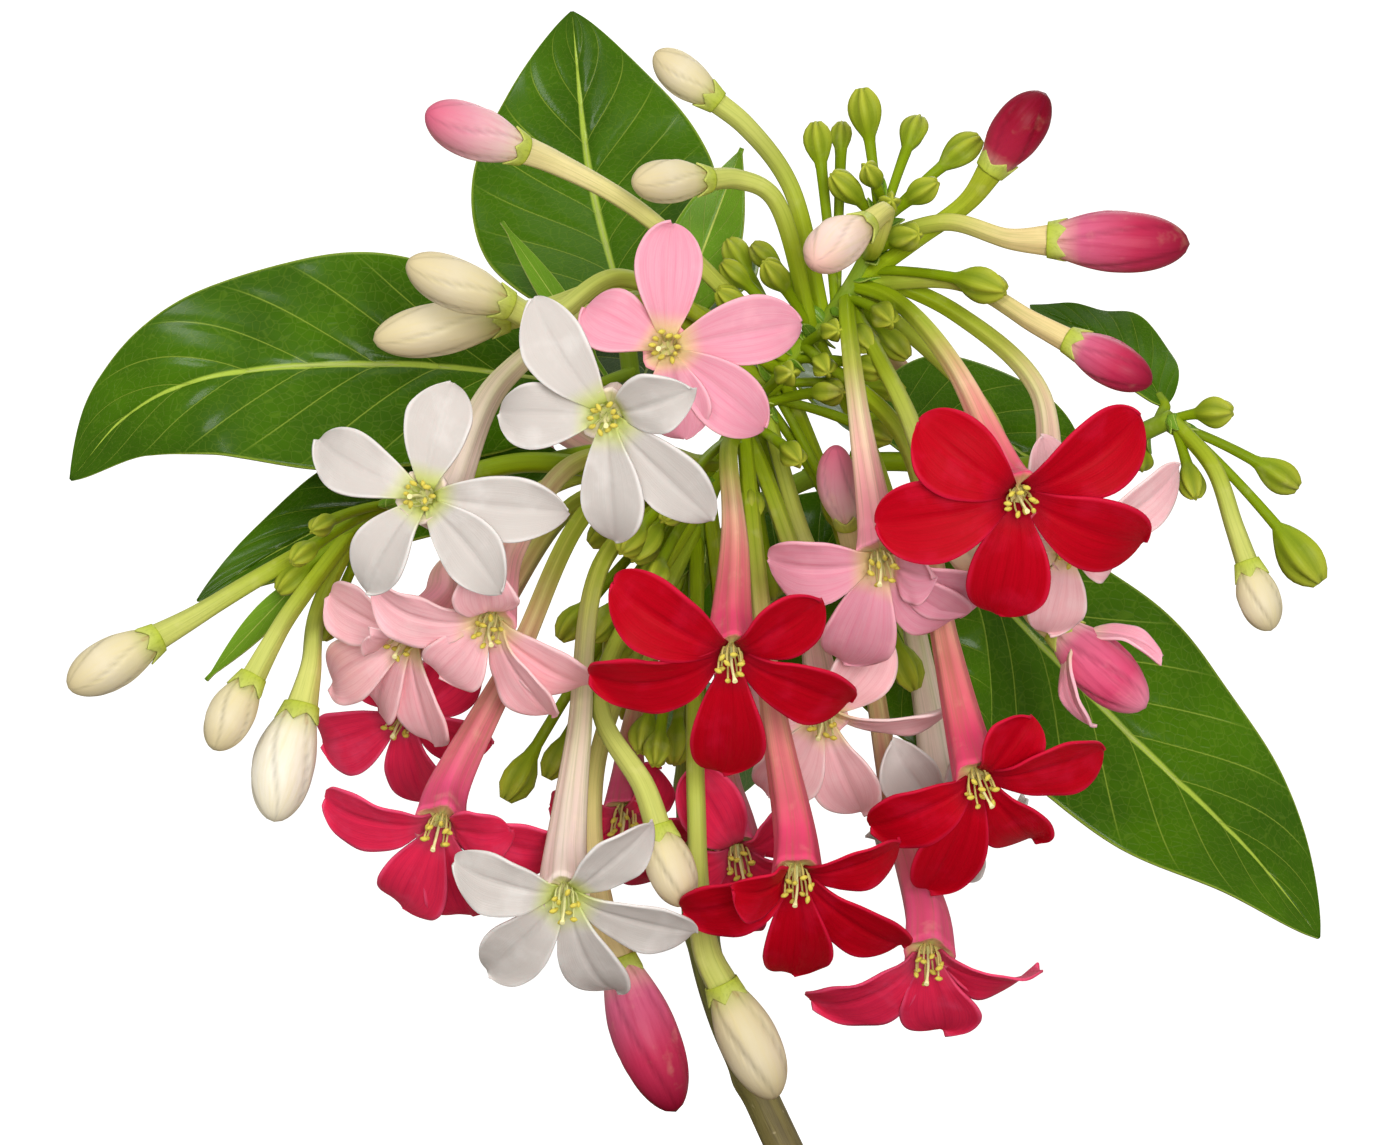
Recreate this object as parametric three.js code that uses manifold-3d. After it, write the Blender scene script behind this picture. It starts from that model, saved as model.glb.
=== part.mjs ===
// A young rangoon creeper in a plain clay pot: one leaning vine stem with two side shoots, thirteen leaves,
// and a nodding head of long-tubed flowers that open white and turn pink, rose and red.
// Millimetres, +Z up. The origin is the centre of the pot's foot, and the flower head faces -Y.
import * as THREE from "three";
import { mergeVertices } from "three/addons/utils/BufferGeometryUtils.js";
import Module from "manifold-3d";

const wasm = await Module();
wasm.setup();

// Fit between pieces that touch
const GAP = 0.3;

// Pot and soil
const POT_HEIGHT = 116;
const POT_FOOT_RADIUS = 45;
const POT_NECK_RADIUS = 58;
const POT_NECK_HEIGHT = 91;
const POT_RIM_RADIUS = 65;
const POT_WALL = 5;
const POT_SIDES = 26;
const DRAIN_RADIUS = 4;
const DRAIN_CIRCLE = 24;
const DRAIN_COUNT = 3;
const SOIL_TOP = 103;
const SOIL_SIDES = 20;
const SOIL_WALL_GAP = 0.6;
const SOIL_LUMP = 1.6;

// Vine
const STEM_RADIUS_SOIL = 3.4;
const STEM_RADIUS_TOP = 2.2;
const STEM_SIDES = 7;
const SHOOT_RADIUS = 1.7;
const PETIOLE_RADIUS = 1.1;
const LEAF_THICKNESS = 0.7;
const LEAF_ROWS = 5;
const LEAF_COLUMNS = 2;

// Flowers
const PETAL_THICKNESS = 0.6;
const PETAL_ROWS = 3;
const PETAL_COLUMNS = 1;
const PETAL_ARCH = 0.1;
const PETAL_CUP = 0.16;
const PETAL_OVERLAP = 0.9;
const PETAL_REFLEX = 1.5;
const PETAL_POINT = { red: 0.2, rose: 0.2, pink: 0.5, blush: 0.6, white: 1 };
const THROAT_RADIUS = 3.7;
const THROAT_DEPTH = 2.2;
const THROAT_SIDES = 6;
const PETAL_SEAT = 2.2;
const STAMEN_LENGTH = 5;
const STAMEN_RADIUS = 0.45;
const STAMEN_SPREAD = 1.1;
const STAMEN_COUNT = 2;
const TUBE_STRAIGHT = 8;
const TUBE_ROOT_RADIUS = 1.2;
const TUBE_FLARE = 2.1;
const TUBE_SIDES = 5;
const TUBE_STEPS = 4;
const BUD_TUBE_SIDES = 5;
const BUD_TUBE_STEPS = 4;
const BUDLET_SIDES = 4;
const BUDLET_STEPS = 3;
const TIDY = 0.12;
const BUD_SIDES = 6;
const BUD_NECK = 0.27;

// Places in the plant are read off its front view. Each is [across, down, forward]: across and down are steps of
// GRID mm from the view's top left corner, and forward is mm towards the viewer from the head's own plane.
const GRID = 0.16;
const VIEW_CENTRE = [687, 572.5];
const VIEW_DISTANCE = 1000;
const VIEW_HEIGHT = 222;
const HEAD_PLANE_Y = -18;

const COLOURS = {
  red: 0xb8061f,
  rose: 0xcf2b4e,
  pink: 0xee9fb0,
  blush: 0xe9c0c0,
  white: 0xf2eeea,
  cream: 0xe9dfbb,
  green: 0x9aa62a,
};

// Each bloom: the throat's place, where its tube leaves the stalk and what it passes, the way it faces [right, up,
// forward], its petals' tips [across, down, extra forward, turn in degrees], and its petals' width in mm.
const BLOOMS = [
  { name: "red_centre", colour: "red", mouth: [731, 652, 53],
    tube: [[728, 440, 0], [728, 458, 18], [734, 545, 40]],
    facing: [0, -0.58, 0.81], width: 11.6,
    tips: [[612, 592], [822, 608], [852, 712], [722, 778], [589, 684, 0, -18]] },
  { name: "red_right", colour: "red", mouth: [1018, 495, 53],
    tube: [[866, 285, 0], [895, 300, 8], [958, 372, 30]],
    facing: [0.1, -0.3, 0.95], width: 12.5,
    tips: [[920, 425], [1142, 418], [1148, 548], [1000, 620], [877, 527]] },
  { name: "red_low", colour: "red", mouth: [797, 872, 40],
    tube: [[745, 430, 0], [756, 560, 16], [774, 715, 30]],
    facing: [0.02, -0.68, 0.73], width: 10.8,
    tips: [[738, 903, 15], [902, 853], [903, 953], [793, 980], [683, 920]] },
  { name: "red_low_right", colour: "red", mouth: [978, 776, 36],
    tube: [[800, 350, 0], [905, 440, 14], [945, 640, 22]],
    facing: [0.15, -0.62, 0.77], width: 10.8,
    tips: [[1032, 722], [1106, 755], [1035, 848], [930, 895], [872, 835]] },
  { name: "rose_low_right", colour: "rose", mouth: [928, 952, 24],
    tube: [[780, 372, 0], [850, 560, -12], [893, 800, -4]],
    facing: [0, -0.64, 0.77], width: 13,
    tips: [[812, 1014, 0, -24], [915, 990, -16], [942, 990, -16], [1040, 984, 0, 20], [943, 1037]] },
  { name: "rose_left", colour: "rose", mouth: [440, 822, 30],
    tube: [[700, 500, 0], [600, 500, 2], [515, 660, 14]],
    facing: [-0.1, -0.55, 0.83], width: 11.2,
    tips: [[322, 808, 0, -25], [505, 842, 8], [560, 862], [470, 928], [400, 916]] },
  { name: "rose_back_left", colour: "rose", mouth: [405, 712, 0],
    tube: [[700, 490, 0], [578, 502, -12], [490, 620, -13]],
    facing: [-0.3, -0.5, 0.81], width: 10.8,
    tips: [[316, 752], [425, 808], [490, 748], [470, 662, -3], [362, 640, -3]] },
  { name: "rose_low_mid", colour: "rose", mouth: [738, 850, 6],
    tube: [[704, 500, -4], [722, 620, -10], [724, 760, -12]],
    facing: [0.1, -0.66, 0.75], width: 10.3,
    tips: [[731, 944], [655, 878], [690, 778], [798, 820], [816, 880]] },
  { name: "rose_mid_back", colour: "rose", mouth: [625, 812, 2],
    tube: [[690, 560, -8], [655, 640, -10], [632, 730, -10]],
    facing: [-0.05, -0.7, 0.71], width: 9.9,
    tips: [[548, 816], [662, 776, -6], [700, 836], [664, 890], [590, 880]] },
  { name: "pink_top", colour: "pink", mouth: [667, 348, 48], tube: [[745, 400, 0], [690, 366, 22]],
    facing: [-0.05, 0.05, 1], width: 10.3,
    tips: [[672, 221], [801, 322], [765, 428], [684, 438], [583, 305]] },
  { name: "pink_left", colour: "pink", mouth: [490, 620, 38],
    tube: [[715, 470, 0], [575, 464, 12], [512, 550, 20]],
    facing: [-0.1, -0.5, 0.86], width: 10.3,
    tips: [[368, 597, 0, -25], [480, 578, 10], [589, 692], [552, 720, 0, 25], [436, 684]] },
  { name: "pink_far_left", colour: "pink", mouth: [412, 632, 24],
    tube: [[710, 480, 0], [560, 482, 0], [450, 570, 6]],
    facing: [-0.5, -0.5, 0.7], width: 9.9,
    tips: [[324, 600], [366, 644, 15], [328, 688], [374, 716], [430, 750]] },
  { name: "pink_mid_right", colour: "pink", mouth: [880, 558, 38],
    tube: [[842, 305, 0], [848, 330, 12], [862, 440, 32]],
    facing: [0.05, -0.55, 0.83], width: 11.2,
    tips: [[768, 567], [936, 583, 8], [997, 600], [962, 628], [843, 672]] },
  { name: "blush_low", colour: "blush", mouth: [822, 714, 14],
    tube: [[742, 430, 0], [770, 490, 0], [803, 590, 2]],
    facing: [0, -0.5, 0.86], width: 10.8,
    tips: [[886, 640], [966, 705, 0, 35], [862, 816], [768, 800], [750, 690]] },
  { name: "blush_right", colour: "blush", mouth: [1066, 545, 18],
    tube: [[870, 280, 0], [955, 312, 0], [1040, 392, 4]],
    facing: [0.25, -0.35, 0.9], width: 9,
    tips: [[1186, 470], [1125, 560], [1052, 640], [970, 560], [1045, 440]] },
  { name: "white_centre", colour: "white", mouth: [607, 414, 62],
    tube: [[720, 470, 0], [690, 462, 14], [640, 440, 34]],
    facing: [-0.12, -0.2, 0.97], width: 9.9,
    tips: [[530, 300], [688, 392, 8], [712, 522], [613, 547], [495, 416]] },
  { name: "white_left", colour: "white", mouth: [425, 497, 52],
    tube: [[790, 360, 0], [640, 300, 10], [500, 382, 28]],
    facing: [-0.25, 0.1, 0.96], width: 9.9,
    tips: [[450, 382], [565, 510], [497, 592], [360, 592], [312, 437]] },
  { name: "white_low", colour: "white", mouth: [565, 892, 43],
    tube: [[704, 495, 0], [604, 560, 12], [579, 740, 24]],
    facing: [0, -0.6, 0.8], width: 9.9,
    tips: [[452, 873], [652, 833], [697, 938], [617, 1002], [488, 978]] },
  { name: "white_back_right", colour: "white", mouth: [945, 806, 0],
    tube: [[812, 338, 0], [880, 480, -10], [925, 690, -12]],
    facing: [0.1, -0.7, 0.7], width: 9.5,
    tips: [[876, 850, -7], [893, 748], [990, 742], [1030, 812], [962, 880]] },
  { name: "rose_back_high", colour: "rose", mouth: [1000, 505, -68],
    tube: [[852, 290, 0], [866, 318, -28], [925, 405, -58]],
    facing: [0.3, -0.4, -0.86], width: 10.3,
    tips: [[1010, 430], [1085, 480], [1050, 590], [950, 595], [910, 500]] },
  { name: "pink_back", colour: "pink", mouth: [478, 392, -66],
    tube: [[712, 470, 0], [702, 478, -30], [600, 452, -52]],
    facing: [-0.4, -0.1, -0.9], width: 10.3,
    tips: [[480, 290], [562, 352], [548, 470], [412, 480], [375, 365]] },
];

// Each large bud: the calyx's end, the bud's tip, where its tube leaves the stalk, and its width in mm.
const BUDS = [
  { name: "bud_pink_up_left", colour: "pink", base: [517, 148, 14], tip: [427, 112, 22],
    root: [750, 320, -2], bend: [640, 212, 8], width: 8.6 },
  { name: "bud_cream_top", colour: "cream", base: [712, 98, 2], tip: [655, 52, 4],
    root: [795, 300, 1], bend: [790, 185, -4], width: 6.6 },
  { name: "bud_cream_mid", colour: "cream", base: [703, 180, 12], tip: [634, 182, 20],
    root: [790, 305, 2], bend: [772, 195, 6], width: 7 },
  { name: "bud_cream_left_up", colour: "cream", base: [503, 303, 30], tip: [407, 262, 36],
    root: [735, 335, 2], bend: [620, 278, 16], width: 8 },
  { name: "bud_cream_left_low", colour: "cream", base: [500, 318, 16], tip: [373, 340, 20],
    root: [720, 350, -2], bend: [620, 290, 8], width: 8.4 },
  { name: "bud_hub_front", colour: "blush", base: [862, 228, 24], tip: [814, 262, 35],
    root: [868, 262, 2], bend: [876, 245, 12], width: 8 },
  { name: "bud_red_top", colour: "red", base: [994, 165, 8], tip: [1046, 93, 12],
    root: [862, 290, 1], bend: [918, 238, 4], width: 8.4 },
  { name: "bud_rose_right", colour: "rose", base: [1055, 240, 12], tip: [1190, 244, 14],
    root: [872, 240, 2], bend: [950, 222, 8], width: 9.8 },
  { name: "bud_pink_right", colour: "rose", base: [1074, 343, 16], tip: [1152, 384, 20],
    root: [866, 284, 0], bend: [960, 282, 6], width: 7.4 },
  { name: "bud_half_open", colour: "rose", base: [1062, 632, 2], tip: [1146, 708, 6],
    root: [872, 286, 1], bend: [990, 420, -8], width: 9.6,
    petals: [
      { foot: [1078, 634, 4], tip: [1163, 652, 8], facing: [0.6, 0.75, 0.28], width: 4 },
      { foot: [1068, 644, 6], tip: [1088, 727, 8], facing: [-0.75, -0.35, 0.8], width: 5.4 },
    ] },
  { name: "bud_behind_red", colour: "cream", base: [948, 508, 30], tip: [985, 580, 33],
    root: [845, 300, 0], bend: [905, 410, 20], width: 7 },
  { name: "bud_pink_mid", colour: "pink", base: [846, 520, 12], tip: [836, 446, 20],
    root: [770, 400, -2], bend: [815, 560, -2], width: 6.4 },
  { name: "bud_left_far", colour: "cream", base: [152, 641, 14], tip: [68, 688, 18],
    root: [362, 512, 6], bend: [252, 582, 10], width: 8.2, spray: "left" },
  { name: "bud_left_mid", colour: "cream", base: [250, 682, 20], tip: [213, 750, 22],
    root: [358, 520, 6], bend: [290, 612, 14], width: 7.4, spray: "left" },
  { name: "bud_left_near", colour: "white", base: [300, 712, 16], tip: [274, 822, 20],
    root: [360, 528, 6], bend: [318, 610, 6], width: 9.8, spray: "left" },
  { name: "bud_low_rose", colour: "rose", base: [620, 965, 19], tip: [676, 1112, 20],
    root: [655, 520, -4], bend: [597, 760, 8], width: 10.4 },
  { name: "bud_low_cream", colour: "cream", base: [724, 989, 14], tip: [775, 1099, 12],
    root: [690, 545, -4], bend: [696, 800, 22], width: 9.4 },
  { name: "bud_low_mid", colour: "cream", base: [660, 832, 30], tip: [685, 907, 31],
    root: [660, 500, 0], bend: [600, 700, 20], width: 7.6 },
  { name: "bud_right_cream", colour: "cream", base: [1249, 568, 4], tip: [1271, 631, 5],
    root: [1168, 420, -6], bend: [1215, 470, 2], width: 6.8, spray: "right" },
];

// Small green buds on short stalks: root, tip, and width in mm.
const BUDLETS = {
  main: [
    [[884, 222, 2], [862, 88, 4], 4.8], [[886, 215, -2], [920, 117, -6], 4],
    [[800, 282, -2], [816, 122, -4], 4.2], [[802, 280, -5], [842, 122, -9], 3.2],
    [[885, 225, 0], [981, 138, 2], 4.6], [[882, 232, 4], [937, 182, 8], 3.8],
    [[878, 225, 2], [832, 174, 6], 4.2], [[884, 218, 5], [866, 165, 10], 3.4],
    [[880, 225, 8], [892, 200, 14], 3.2], [[872, 262, 5], [918, 234, 12], 4.2],
    [[866, 284, 5], [1005, 291, 13], 5.2], [[858, 305, 0], [908, 358, 2], 4],
    [[846, 318, 2], [872, 350, 10], 4], [[745, 320, -4], [728, 240, -8], 4],
    [[770, 320, -3], [722, 262, 2], 3.6], [[770, 345, 0], [718, 290, 6], 4],
    [[790, 345, 6], [828, 372, 14], 3.6], [[760, 400, 6], [792, 372, 14], 3.8],
    [[700, 480, 6], [634, 560, 12], 5], [[705, 470, 8], [664, 520, 16], 4.4],
    [[690, 500, 2], [592, 640, 10], 4.4], [[676, 505, 0], [610, 660, 6], 4.6],
    [[640, 510, -4], [505, 800, -4], 5.2], [[650, 510, -6], [546, 778, -8], 4.4],
    [[712, 465, 4], [622, 552, 24], 4.4], [[724, 452, 6], [676, 498, 26], 4],
    [[735, 440, 4], [800, 462, 16], 3.8], [[756, 408, 2], [842, 392, 14], 4],
    [[790, 360, 4], [885, 372, 12], 3.8], [[812, 336, 0], [765, 262, 8], 4],
    [[828, 318, -2], [752, 244, -2], 3.6], [[840, 305, 4], [892, 322, 16], 4],
    [[704, 500, 0], [648, 590, 22], 4.6], [[770, 385, 0], [905, 392, -4], 3.4],
    [[765, 395, -2], [892, 440, 2], 3.6], [[760, 400, -4], [842, 526, -10], 3.8],
    [[752, 410, -4], [800, 560, -16], 4], [[745, 420, -6], [772, 600, -14], 4],
    [[715, 460, -4], [612, 500, 0], 4], [[712, 465, -6], [590, 545, -4], 4.2],
    [[706, 480, -4], [560, 640, -8], 4.4], [[700, 495, -6], [575, 700, -12], 4.6],
    [[696, 510, -8], [625, 720, -16], 4.4], [[800, 352, 3], [838, 330, 14], 3.4],
    [[735, 432, 4], [752, 520, 10], 3.8], [[690, 575, -13], [640, 752, 14], 4.4],
    [[690, 590, -14], [674, 764, 2], 4.4], [[690, 560, -12], [655, 765, 18], 4],
    [[850, 440, -6], [915, 690, -6], 4.8], [[690, 560, -6], [708, 852, -4], 4.6],
  ],
  left: [
    [[400, 500, 4], [278, 592, 10], 4], [[395, 497, 6], [292, 562, 20], 3.4],
    [[390, 495, 5], [312, 530, 22], 3.2], [[380, 505, 2], [322, 640, 2], 3.6],
  ],
  right: [
    [[1160, 420, -5], [1232, 412, -2], 4.6], [[1165, 420, -8], [1298, 488, -10], 4.8],
    [[1160, 422, -4], [1196, 498, 2], 4], [[1130, 425, -8], [1142, 470, -16], 3.4],
    [[1168, 420, -7], [1321, 582, -2], 6.6],
  ],
};

// The vine's own line from below the soil's surface to the tip of the flower stalk.
const VINE_POINTS = [
  [868, 1372, -22], [852, 1290, -26], [806, 1195, -28], [757, 1090, -28], [718, 1000, -28], [696, 900, -26],
  [690, 760, -22],
  [690, 620, -16], [704, 500, -8], [745, 420, -3], [800, 350, -1], [852, 290, 0], [886, 210, 2],
];
const STEM_SHARE = 0.6;
const SHOOTS = {
  left: [[694, 640, -18], [672, 520, -22], [640, 430, -26], [628, 350, -28]],
  right: [[696, 584, -13], [760, 505, -26], [860, 464, -30], [1010, 468, -26], [1110, 446, -14],
    [1172, 419, -7]],
  spray: [[700, 478, -2], [600, 468, 8], [520, 463, 8], [440, 484, 6], [360, 520, 6]],
};

// Each leaf: its stalk's root, the midrib from the blade's base to its tip, its width in mm and the way its face
// looks [right, up, forward].
const LEAVES = [
  { name: "leaf_top",
    root: [630, 352, -28], rib: [[628, 326, -34], [589, 170, -56], [572, 12, -68]], width: 42,
    face: [-0.1, 0.35, 0.93] },
  { name: "leaf_left",
    root: [634, 372, -27], rib: [[592, 386, -24], [400, 364, -10], [205, 378, -8], [128, 415, -11],
    [71, 480, -14]], width: 38, face: [-0.1, 0.35, 0.93] },
  { name: "leaf_left_low", root: [650, 440, -25], rib: [[560, 455, -22], [400, 494, -14], [290, 544, -10],
    [197, 601, -8]], width: 19, face: [-0.1, 0.4, 0.9] },
  { name: "leaf_right_small",
    root: [1160, 420, -10], rib: [[1165, 406, -12], [1130, 354, -18], [1030, 306, -26]],
    width: 14, face: [0.3, 0.5, 0.8] },
  { name: "leaf_right_high",
    root: [880, 448, -30], rib: [[868, 418, -30], [985, 432, -40], [1105, 515, -38]],
    width: 26, face: [0.2, 0.5, 0.84] },
  { name: "leaf_right_low",
    root: [805, 474, -28], rib: [[920, 520, -50], [1122, 727, -46], [1250, 852, -38],
    [1319, 938, -30]], width: 40, face: [0.25, 0.3, 0.92] },
  { name: "leaf_low_mid",
    root: [845, 457, -30], rib: [[856, 510, -32], [905, 640, -26], [985, 775, -20]], width: 27,
    face: [0.1, 0.2, 0.97] },
  { name: "leaf_back_left",
    root: [641, 432, -26], rib: [[632, 410, -42], [672, 304, -82], [680, 316, -118]],
    width: 36, face: [-0.3, 0.9, -0.3] },
  { name: "leaf_back_right",
    root: [856, 454, -30], rib: [[866, 432, -44], [864, 384, -82], [850, 430, -118]],
    width: 31, face: [0.2, 0.95, -0.2] },
  { name: "leaf_heart",
    root: [690, 655, -20], rib: [[708, 640, -36], [790, 585, -45], [880, 488, -47]], width: 30,
    face: [0.1, 0.25, 0.96] },
  { name: "leaf_back_low", root: [690, 700, -20], rib: [[700, 700, -30], [720, 690, -62], [730, 800, -94]],
    width: 34, face: [0.1, 0.8, -0.6] },
  { name: "leaf_pot_left",
    root: [834, 1256, -27], rib: [[765, 1225, -30], [540, 1192, -14], [235, 1245, 6]],
    width: 34, face: [-0.2, 0.95, 0.15] },
  { name: "leaf_pot_back",
    root: [830, 1243, -27], rib: [[840, 1205, -42], [870, 1172, -72], [900, 1232, -112]],
    width: 34, face: [0.1, 0.95, -0.2] },
];

// Small young leaves, part of the stalk that bears them: root, tip and width in mm.
const LEAFLETS = {
  left: [
    [[639, 425, -26], [502, 222, -34], 4.2],
    [[640, 420, -26], [742, 148, -20], 12],
  ],
  spray: [[[352, 528, 4], [206, 680, 0], 4.2]],
};

function seen([across, down, forward = 0]) {
  const shrink = (VIEW_DISTANCE - forward) / VIEW_DISTANCE;
  return new THREE.Vector3(
    (across - VIEW_CENTRE[0]) * GRID * shrink,
    HEAD_PLANE_Y - forward,
    VIEW_HEIGHT + (VIEW_CENTRE[1] - down) * GRID * shrink,
  );
}

const CARRIERS = {
  main: new THREE.CatmullRomCurve3(VINE_POINTS.map(seen)),
  left: new THREE.CatmullRomCurve3(SHOOTS.spray.map(seen)),
  right: new THREE.CatmullRomCurve3(SHOOTS.right.map(seen)),
};
const vine = CARRIERS.main;

// The point of a carrying stalk that lies nearest to a place.
function onto(carrier, place) {
  const aim = seen(place);
  return carrier.getSpacedPoints(80).reduce((best, point) =>
    point.distanceTo(aim) < best.distanceTo(aim) ? point : best,
  );
}

function towards([right, up, forward]) {
  return new THREE.Vector3(right, -forward, up).normalize();
}

// A closed geometry as a solid, with its faces turned outwards.
function solidOf(geometry) {
  const bare = new THREE.BufferGeometry();
  bare.setAttribute("position", geometry.getAttribute("position"));
  bare.setIndex(geometry.index);
  const merged = mergeVertices(bare, 1e-4);
  const index = merged.index.array;
  const triangles = [];
  for (let i = 0; i < index.length; i += 3) {
    const [a, b, c] = [index[i], index[i + 1], index[i + 2]];
    if (a !== b && b !== c && a !== c) triangles.push(a, b, c);
  }
  const vertices = merged.getAttribute("position").array;
  const make = (corners) =>
    new wasm.Manifold(
      new wasm.Mesh({ numProp: 3, vertProperties: vertices, triVerts: new Uint32Array(corners) }),
    );
  const made = make(triangles);
  if (made.volume() > 0) return made;
  const turned = [];
  for (let i = 0; i < triangles.length; i += 3) {
    turned.push(triangles[i], triangles[i + 2], triangles[i + 1]);
  }
  return make(turned);
}

function joined(solids) {
  return solids.reduce((whole, piece) => whole.add(piece)).simplify(TIDY);
}

// The largest body of a solid, so that a loose scrap of a cut is dropped.
function largest(solid) {
  return solid.decompose().sort((a, b) => b.volume() - a.volume())[0];
}

function meshOf(name, solid, colour, roughness, seat = new THREE.Vector3()) {
  const cut = solid.getMesh();
  const position = new Float32Array(cut.numVert * 3);
  for (let i = 0; i < cut.numVert; i++) {
    position[3 * i] = cut.vertProperties[cut.numProp * i] - seat.x;
    position[3 * i + 1] = cut.vertProperties[cut.numProp * i + 1] - seat.y;
    position[3 * i + 2] = cut.vertProperties[cut.numProp * i + 2] - seat.z;
  }
  const geometry = new THREE.BufferGeometry();
  geometry.setAttribute("position", new THREE.BufferAttribute(position, 3));
  geometry.setIndex(new THREE.BufferAttribute(cut.triVerts, 1));
  geometry.computeVertexNormals();
  const material = new THREE.MeshStandardMaterial({ color: colour, roughness, metalness: 0 });
  const mesh = new THREE.Mesh(geometry, material);
  mesh.name = name;
  mesh.position.copy(seat);
  return mesh;
}

// A round stalk along a curve, from a cylinder whose rings are carried along it.
function stalk(curve, radiusAt, sides, steps, grow = 0) {
  const geometry = new THREE.CylinderGeometry(1, 1, 1, sides, steps);
  const frames = curve.computeFrenetFrames(steps);
  const position = geometry.getAttribute("position");
  const local = new THREE.Vector3();
  for (let i = 0; i < position.count; i++) {
    local.fromBufferAttribute(position, i);
    const share = local.y + 0.5;
    const step = Math.round(share * steps);
    const radius = radiusAt(share) + grow;
    const point = curve.getPointAt(share);
    point.addScaledVector(frames.normals[step], local.x * radius);
    point.addScaledVector(frames.binormals[step], -local.z * radius);
    position.setXYZ(i, point.x, point.y, point.z);
  }
  return solidOf(geometry);
}

// A thin blade over surface(along, across), split into triangles alike on both faces.
function blade(surface, columns, rows, thickness) {
  const sheet = new THREE.PlaneGeometry(1, 1, columns, rows);
  const flat = sheet.getAttribute("position");
  const step = 1e-3;
  const points = [];
  const half = thickness / 2;
  for (const side of [1, -1]) {
    for (let i = 0; i < flat.count; i++) {
      const along = flat.getY(i) + 0.5;
      const across = flat.getX(i) * 2;
      const point = surface(along, across);
      const ahead = surface(along + step, across).sub(surface(along - step, across));
      const aside = surface(along, across + step).sub(surface(along, across - step));
      const normal = ahead.cross(aside).normalize();
      points.push(point.addScaledVector(normal, side * half));
    }
  }
  const count = flat.count;
  const index = [...sheet.index.array];
  for (let i = 0; i < sheet.index.count; i += 3) {
    const [a, b, c] = [sheet.index.array[i], sheet.index.array[i + 1], sheet.index.array[i + 2]];
    index.push(a + count, c + count, b + count);
  }
  const wide = columns + 1;
  const rim = [];
  for (let c = 0; c < columns; c++) rim.push(c);
  for (let r = 0; r < rows; r++) rim.push(r * wide + columns);
  for (let c = columns; c > 0; c--) rim.push(rows * wide + c);
  for (let r = rows; r > 0; r--) rim.push(r * wide);
  rim.forEach((here, i) => {
    const next = rim[(i + 1) % rim.length];
    index.push(here, next, here + count, next, next + count, here + count);
  });
  const geometry = new THREE.BufferGeometry().setFromPoints(points);
  geometry.setIndex(index);
  return solidOf(geometry);
}

// The blade's width along its length: narrow at the base, widest past the middle, with a blunt or a pointed tip.
function petalWidth(along, point) {
  const base = 0.22 + 0.78 * Math.sin((Math.PI / 2) * Math.min(1, Math.max(0, along) / 0.6));
  const left = Math.max(0.12, 1 - Math.max(0, (along - 0.6) / 0.4) ** (2.2 - 0.5 * point));
  return base * left ** (0.5 + 0.14 * point);
}

function petalSurface(base, tip, facing, width, point) {
  const along = tip.clone().sub(base);
  const length = along.length();
  along.normalize();
  const up = facing.clone().addScaledVector(along, -facing.dot(along)).normalize();
  const aside = new THREE.Vector3().crossVectors(up, along);
  return (share, across) => {
    const half = (width / 2) * petalWidth(share, point);
    const lapped = PETAL_OVERLAP * across * Math.min(1, Math.max(0, share) * 5);
    const rise = PETAL_ARCH * length * 4 * share * (1 - share) + PETAL_CUP * half * across * across + lapped;
    return base
      .clone()
      .addScaledVector(along, length * share)
      .addScaledVector(aside, half * across)
      .addScaledVector(up, rise);
  };
}

// The tip of a petal that is seen at a place in the front view and lies in the bloom's own plane.
function tipOf([across, down, extra = 0], facing, mouth) {
  const near = seen([across, down, 0]);
  const ray = seen([across, down, 1]).sub(near);
  const forward = mouth.clone().sub(near).dot(facing) / ray.dot(facing);
  return near.addScaledVector(ray, forward + extra).addScaledVector(facing, -PETAL_REFLEX);
}

function throat(mouth, facing) {
  const profile = [
    new THREE.Vector2(0, GAP),
    new THREE.Vector2(THROAT_RADIUS, GAP),
    new THREE.Vector2(THROAT_RADIUS, THROAT_DEPTH),
    new THREE.Vector2(0, THROAT_DEPTH * 0.6),
  ];
  const geometry = new THREE.LatheGeometry(profile, THROAT_SIDES);
  geometry.applyQuaternion(new THREE.Quaternion().setFromUnitVectors(new THREE.Vector3(0, 1, 0), facing));
  geometry.translate(mouth.x, mouth.y, mouth.z);
  return solidOf(geometry);
}

function stamen(mouth, facing, turn) {
  const side = new THREE.Vector3(0, 0, 1).cross(facing).normalize().applyAxisAngle(facing, turn);
  const from = mouth.clone().addScaledVector(facing, THROAT_DEPTH * 0.5).addScaledVector(side, 0.4);
  const to = from.clone().addScaledVector(facing, STAMEN_LENGTH).addScaledVector(side, STAMEN_SPREAD);
  return stalk(new THREE.LineCurve3(from, to), () => STAMEN_RADIUS, 3, 1);
}

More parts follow.
